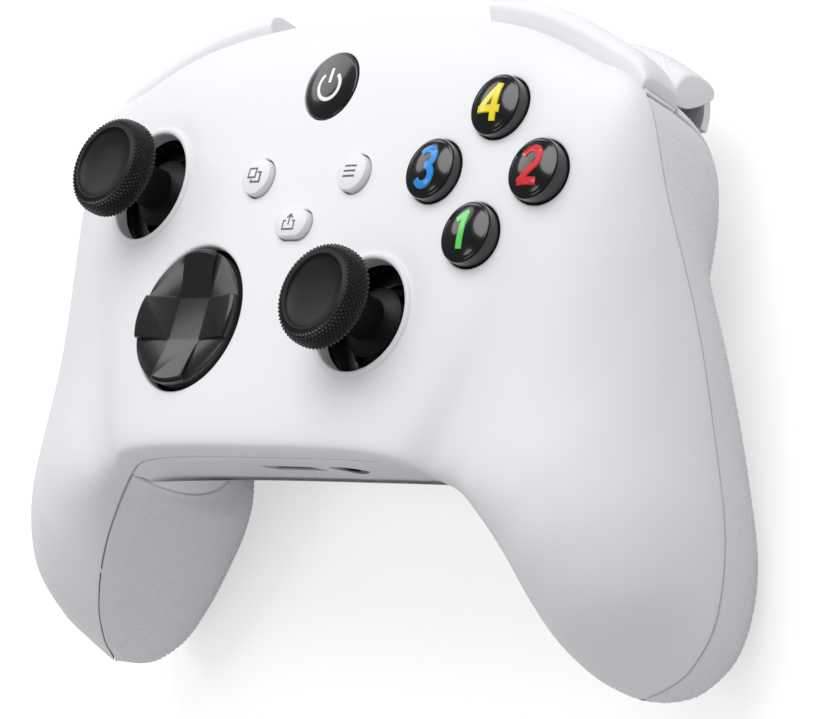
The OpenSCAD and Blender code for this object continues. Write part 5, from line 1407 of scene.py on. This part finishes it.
# finishes of the solids that stay as they are
nodeFinishes = {
    "steel": ["bumper_pins", "trigger_pins", "trigger_springs", "left_stick_shaft", "right_stick_shaft",
              "dpad_cross", "left_rumble_motor", "right_rumble_motor", "left_rumble_weight",
              "right_rumble_weight", "left_trigger_motor", "right_trigger_motor", "left_trigger_weight",
              "right_trigger_weight", "usb_port", "case_screws", "board_screws"],
    "contactGold": ["battery_contacts"],
    "boardGreen": ["main_board", "power_board"],
    "wellBlack": ["board_link", "left_stick_frame", "right_stick_frame", "stick_sensors",
                  "left_stick_gimbal", "right_stick_gimbal", "left_stick_pivot", "right_stick_pivot",
                  "left_stick_ring", "right_stick_ring", "audio_jack", "expansion_port", "sync_button"],
    "rubberGrey": ["face_button_pad", "small_button_pad", "dpad_bracket"],
    "guideClear": ["home_light_guide"],
    "cellWrap": ["aa_batteries"],
}
for finish, names in nodeFinishes.items():
    for name in names:
        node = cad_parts[name]
        if not node.material_slots:
            node.data.materials.append(finishes[finish])
        for held in node.material_slots:
            held.material = finishes[finish]
print("solids dressed")


# camera on the photograph's line of sight
view = {"right": (0.694, 0.251, -0.675), "up": (0.002, 0.937, 0.350), "back": (0.720, -0.244, 0.650),
        "shift": (21.84, -10.4, 709.52), "focal": 4300, "imageWidth": 832, "sensor": 36}


def makeCamera():
    axes = [unit(np.array(view[k])) for k in ("right", "up", "back")]
    place = toTable(sum(a * d for a, d in zip(axes, view["shift"])))
    data = bpy.data.cameras.new("camera")
    data.sensor_fit, data.sensor_width = "HORIZONTAL", view["sensor"]
    data.lens = view["focal"] / view["imageWidth"] * view["sensor"]
    data.clip_start, data.clip_end = 0.01, 20
    obj = bpy.data.objects.new("camera", data)
    bpy.context.scene.collection.objects.link(obj)
    m = Matrix.Identity(4)
    for i, a in enumerate(turnVectors(np.array(axes))):
        for j in range(3):
            m[j][i] = a[j]
    m.translation = Vector(place)
    obj.matrix_world = m
    bpy.context.scene.camera = obj
    return turnVectors(np.array(axes))


sight = makeCamera()


# floor, lamps and surroundings
studio = {"floor": 3.0, "floorTone": 0.76, "floorGlow": 0.52, "sky": 0.5, "glossSky": 0.1,
          "aim": (0, 0, 0.03),
          "lamps": {"key": {"dir": (-0.5, 0.95, 0.5), "far": 0.95, "size": 0.9, "watts": 6.0},
                    "back": {"dir": (-0.74, 0.6, -0.28), "far": 0.85, "size": 0.42, "watts": 0.8},
                    "rim": {"dir": (0.75, 0.72, 0.45), "far": 0.85, "size": 0.22, "watts": 0.8},
                    "edge": {"dir": (-1.0, 0.05, 0.45), "far": 0.85, "size": 0.3, "watts": 0.5}}}


def makeFloor():
    w = studio["floor"]
    obj = looseObject("floor", [(-w, -w, 0), (w, -w, 0), (w, w, 0), (-w, w, 0)], [(0, 1, 2, 3)])
    material = bpy.data.materials.new("floorPale")
    material.use_nodes = True
    tree = material.node_tree
    shader = tree.nodes["Principled BSDF"]
    start = Wire(tree)
    shader.inputs["Roughness"].default_value = 0.9
    shader.inputs["Specular IOR Level"].default_value = 0.1
    mottle = start.node("ShaderNodeTexNoise", {"Scale": 60.0, "Detail": 3.0})
    tone = studio["floorTone"]
    paint = mottle.mix((tone * 0.99,) * 3 + (1,), (tone * 1.01,) * 3 + (1,))
    tree.links.new(paint.out, shader.inputs["Base Color"])
    rays = start.node("ShaderNodeLightPath")
    glow = start.node("ShaderNodeEmission", {"Color": (1, 1, 1, 1), "Strength": rays * studio["floorGlow"]})
    both = start.node("ShaderNodeAddShader", {0: Wire(tree, shader.outputs[0]), 1: glow})
    clear = start.node("ShaderNodeBsdfTransparent")
    under = start.node("ShaderNodeNewGeometry", out=6)
    shown = start.node("ShaderNodeMixShader", {0: under, 1: both, 2: clear})
    tree.links.new(shown.out, tree.nodes["Material Output"].inputs["Surface"])
    obj.data.materials.append(material)


def makeLamps():
    aim = np.array(studio["aim"])
    for name, s in studio["lamps"].items():
        way = unit(sum(a * d for a, d in zip(sight, s["dir"])))
        data = bpy.data.lights.new(name, "AREA")
        data.shape, data.size, data.energy = "DISK", s["size"], s["watts"]
        obj = bpy.data.objects.new(name, data)
        bpy.context.scene.collection.objects.link(obj)
        obj.location = Vector(aim + way * s["far"])
        obj.rotation_euler = Vector(way).to_track_quat("Z", "Y").to_euler()


def makeWorld():
    world = bpy.data.worlds.new("studio")
    bpy.context.scene.world = world
    world.use_nodes = True
    tree = world.node_tree
    back = tree.nodes["Background"]
    start = Wire(tree)
    seen = start.node("ShaderNodeLightPath")
    mirrored = start.node("ShaderNodeLightPath", out=3)
    sky = studio["sky"]
    strength = seen * (1 - sky) + mirrored * (studio["glossSky"] - sky) + sky
    back.inputs["Color"].default_value = (1, 1, 1, 1)
    tree.links.new(strength.out, back.inputs["Strength"])


makeFloor()
makeLamps()
makeWorld()
bpy.context.scene.view_settings.view_transform = "Standard"
print("studio done")
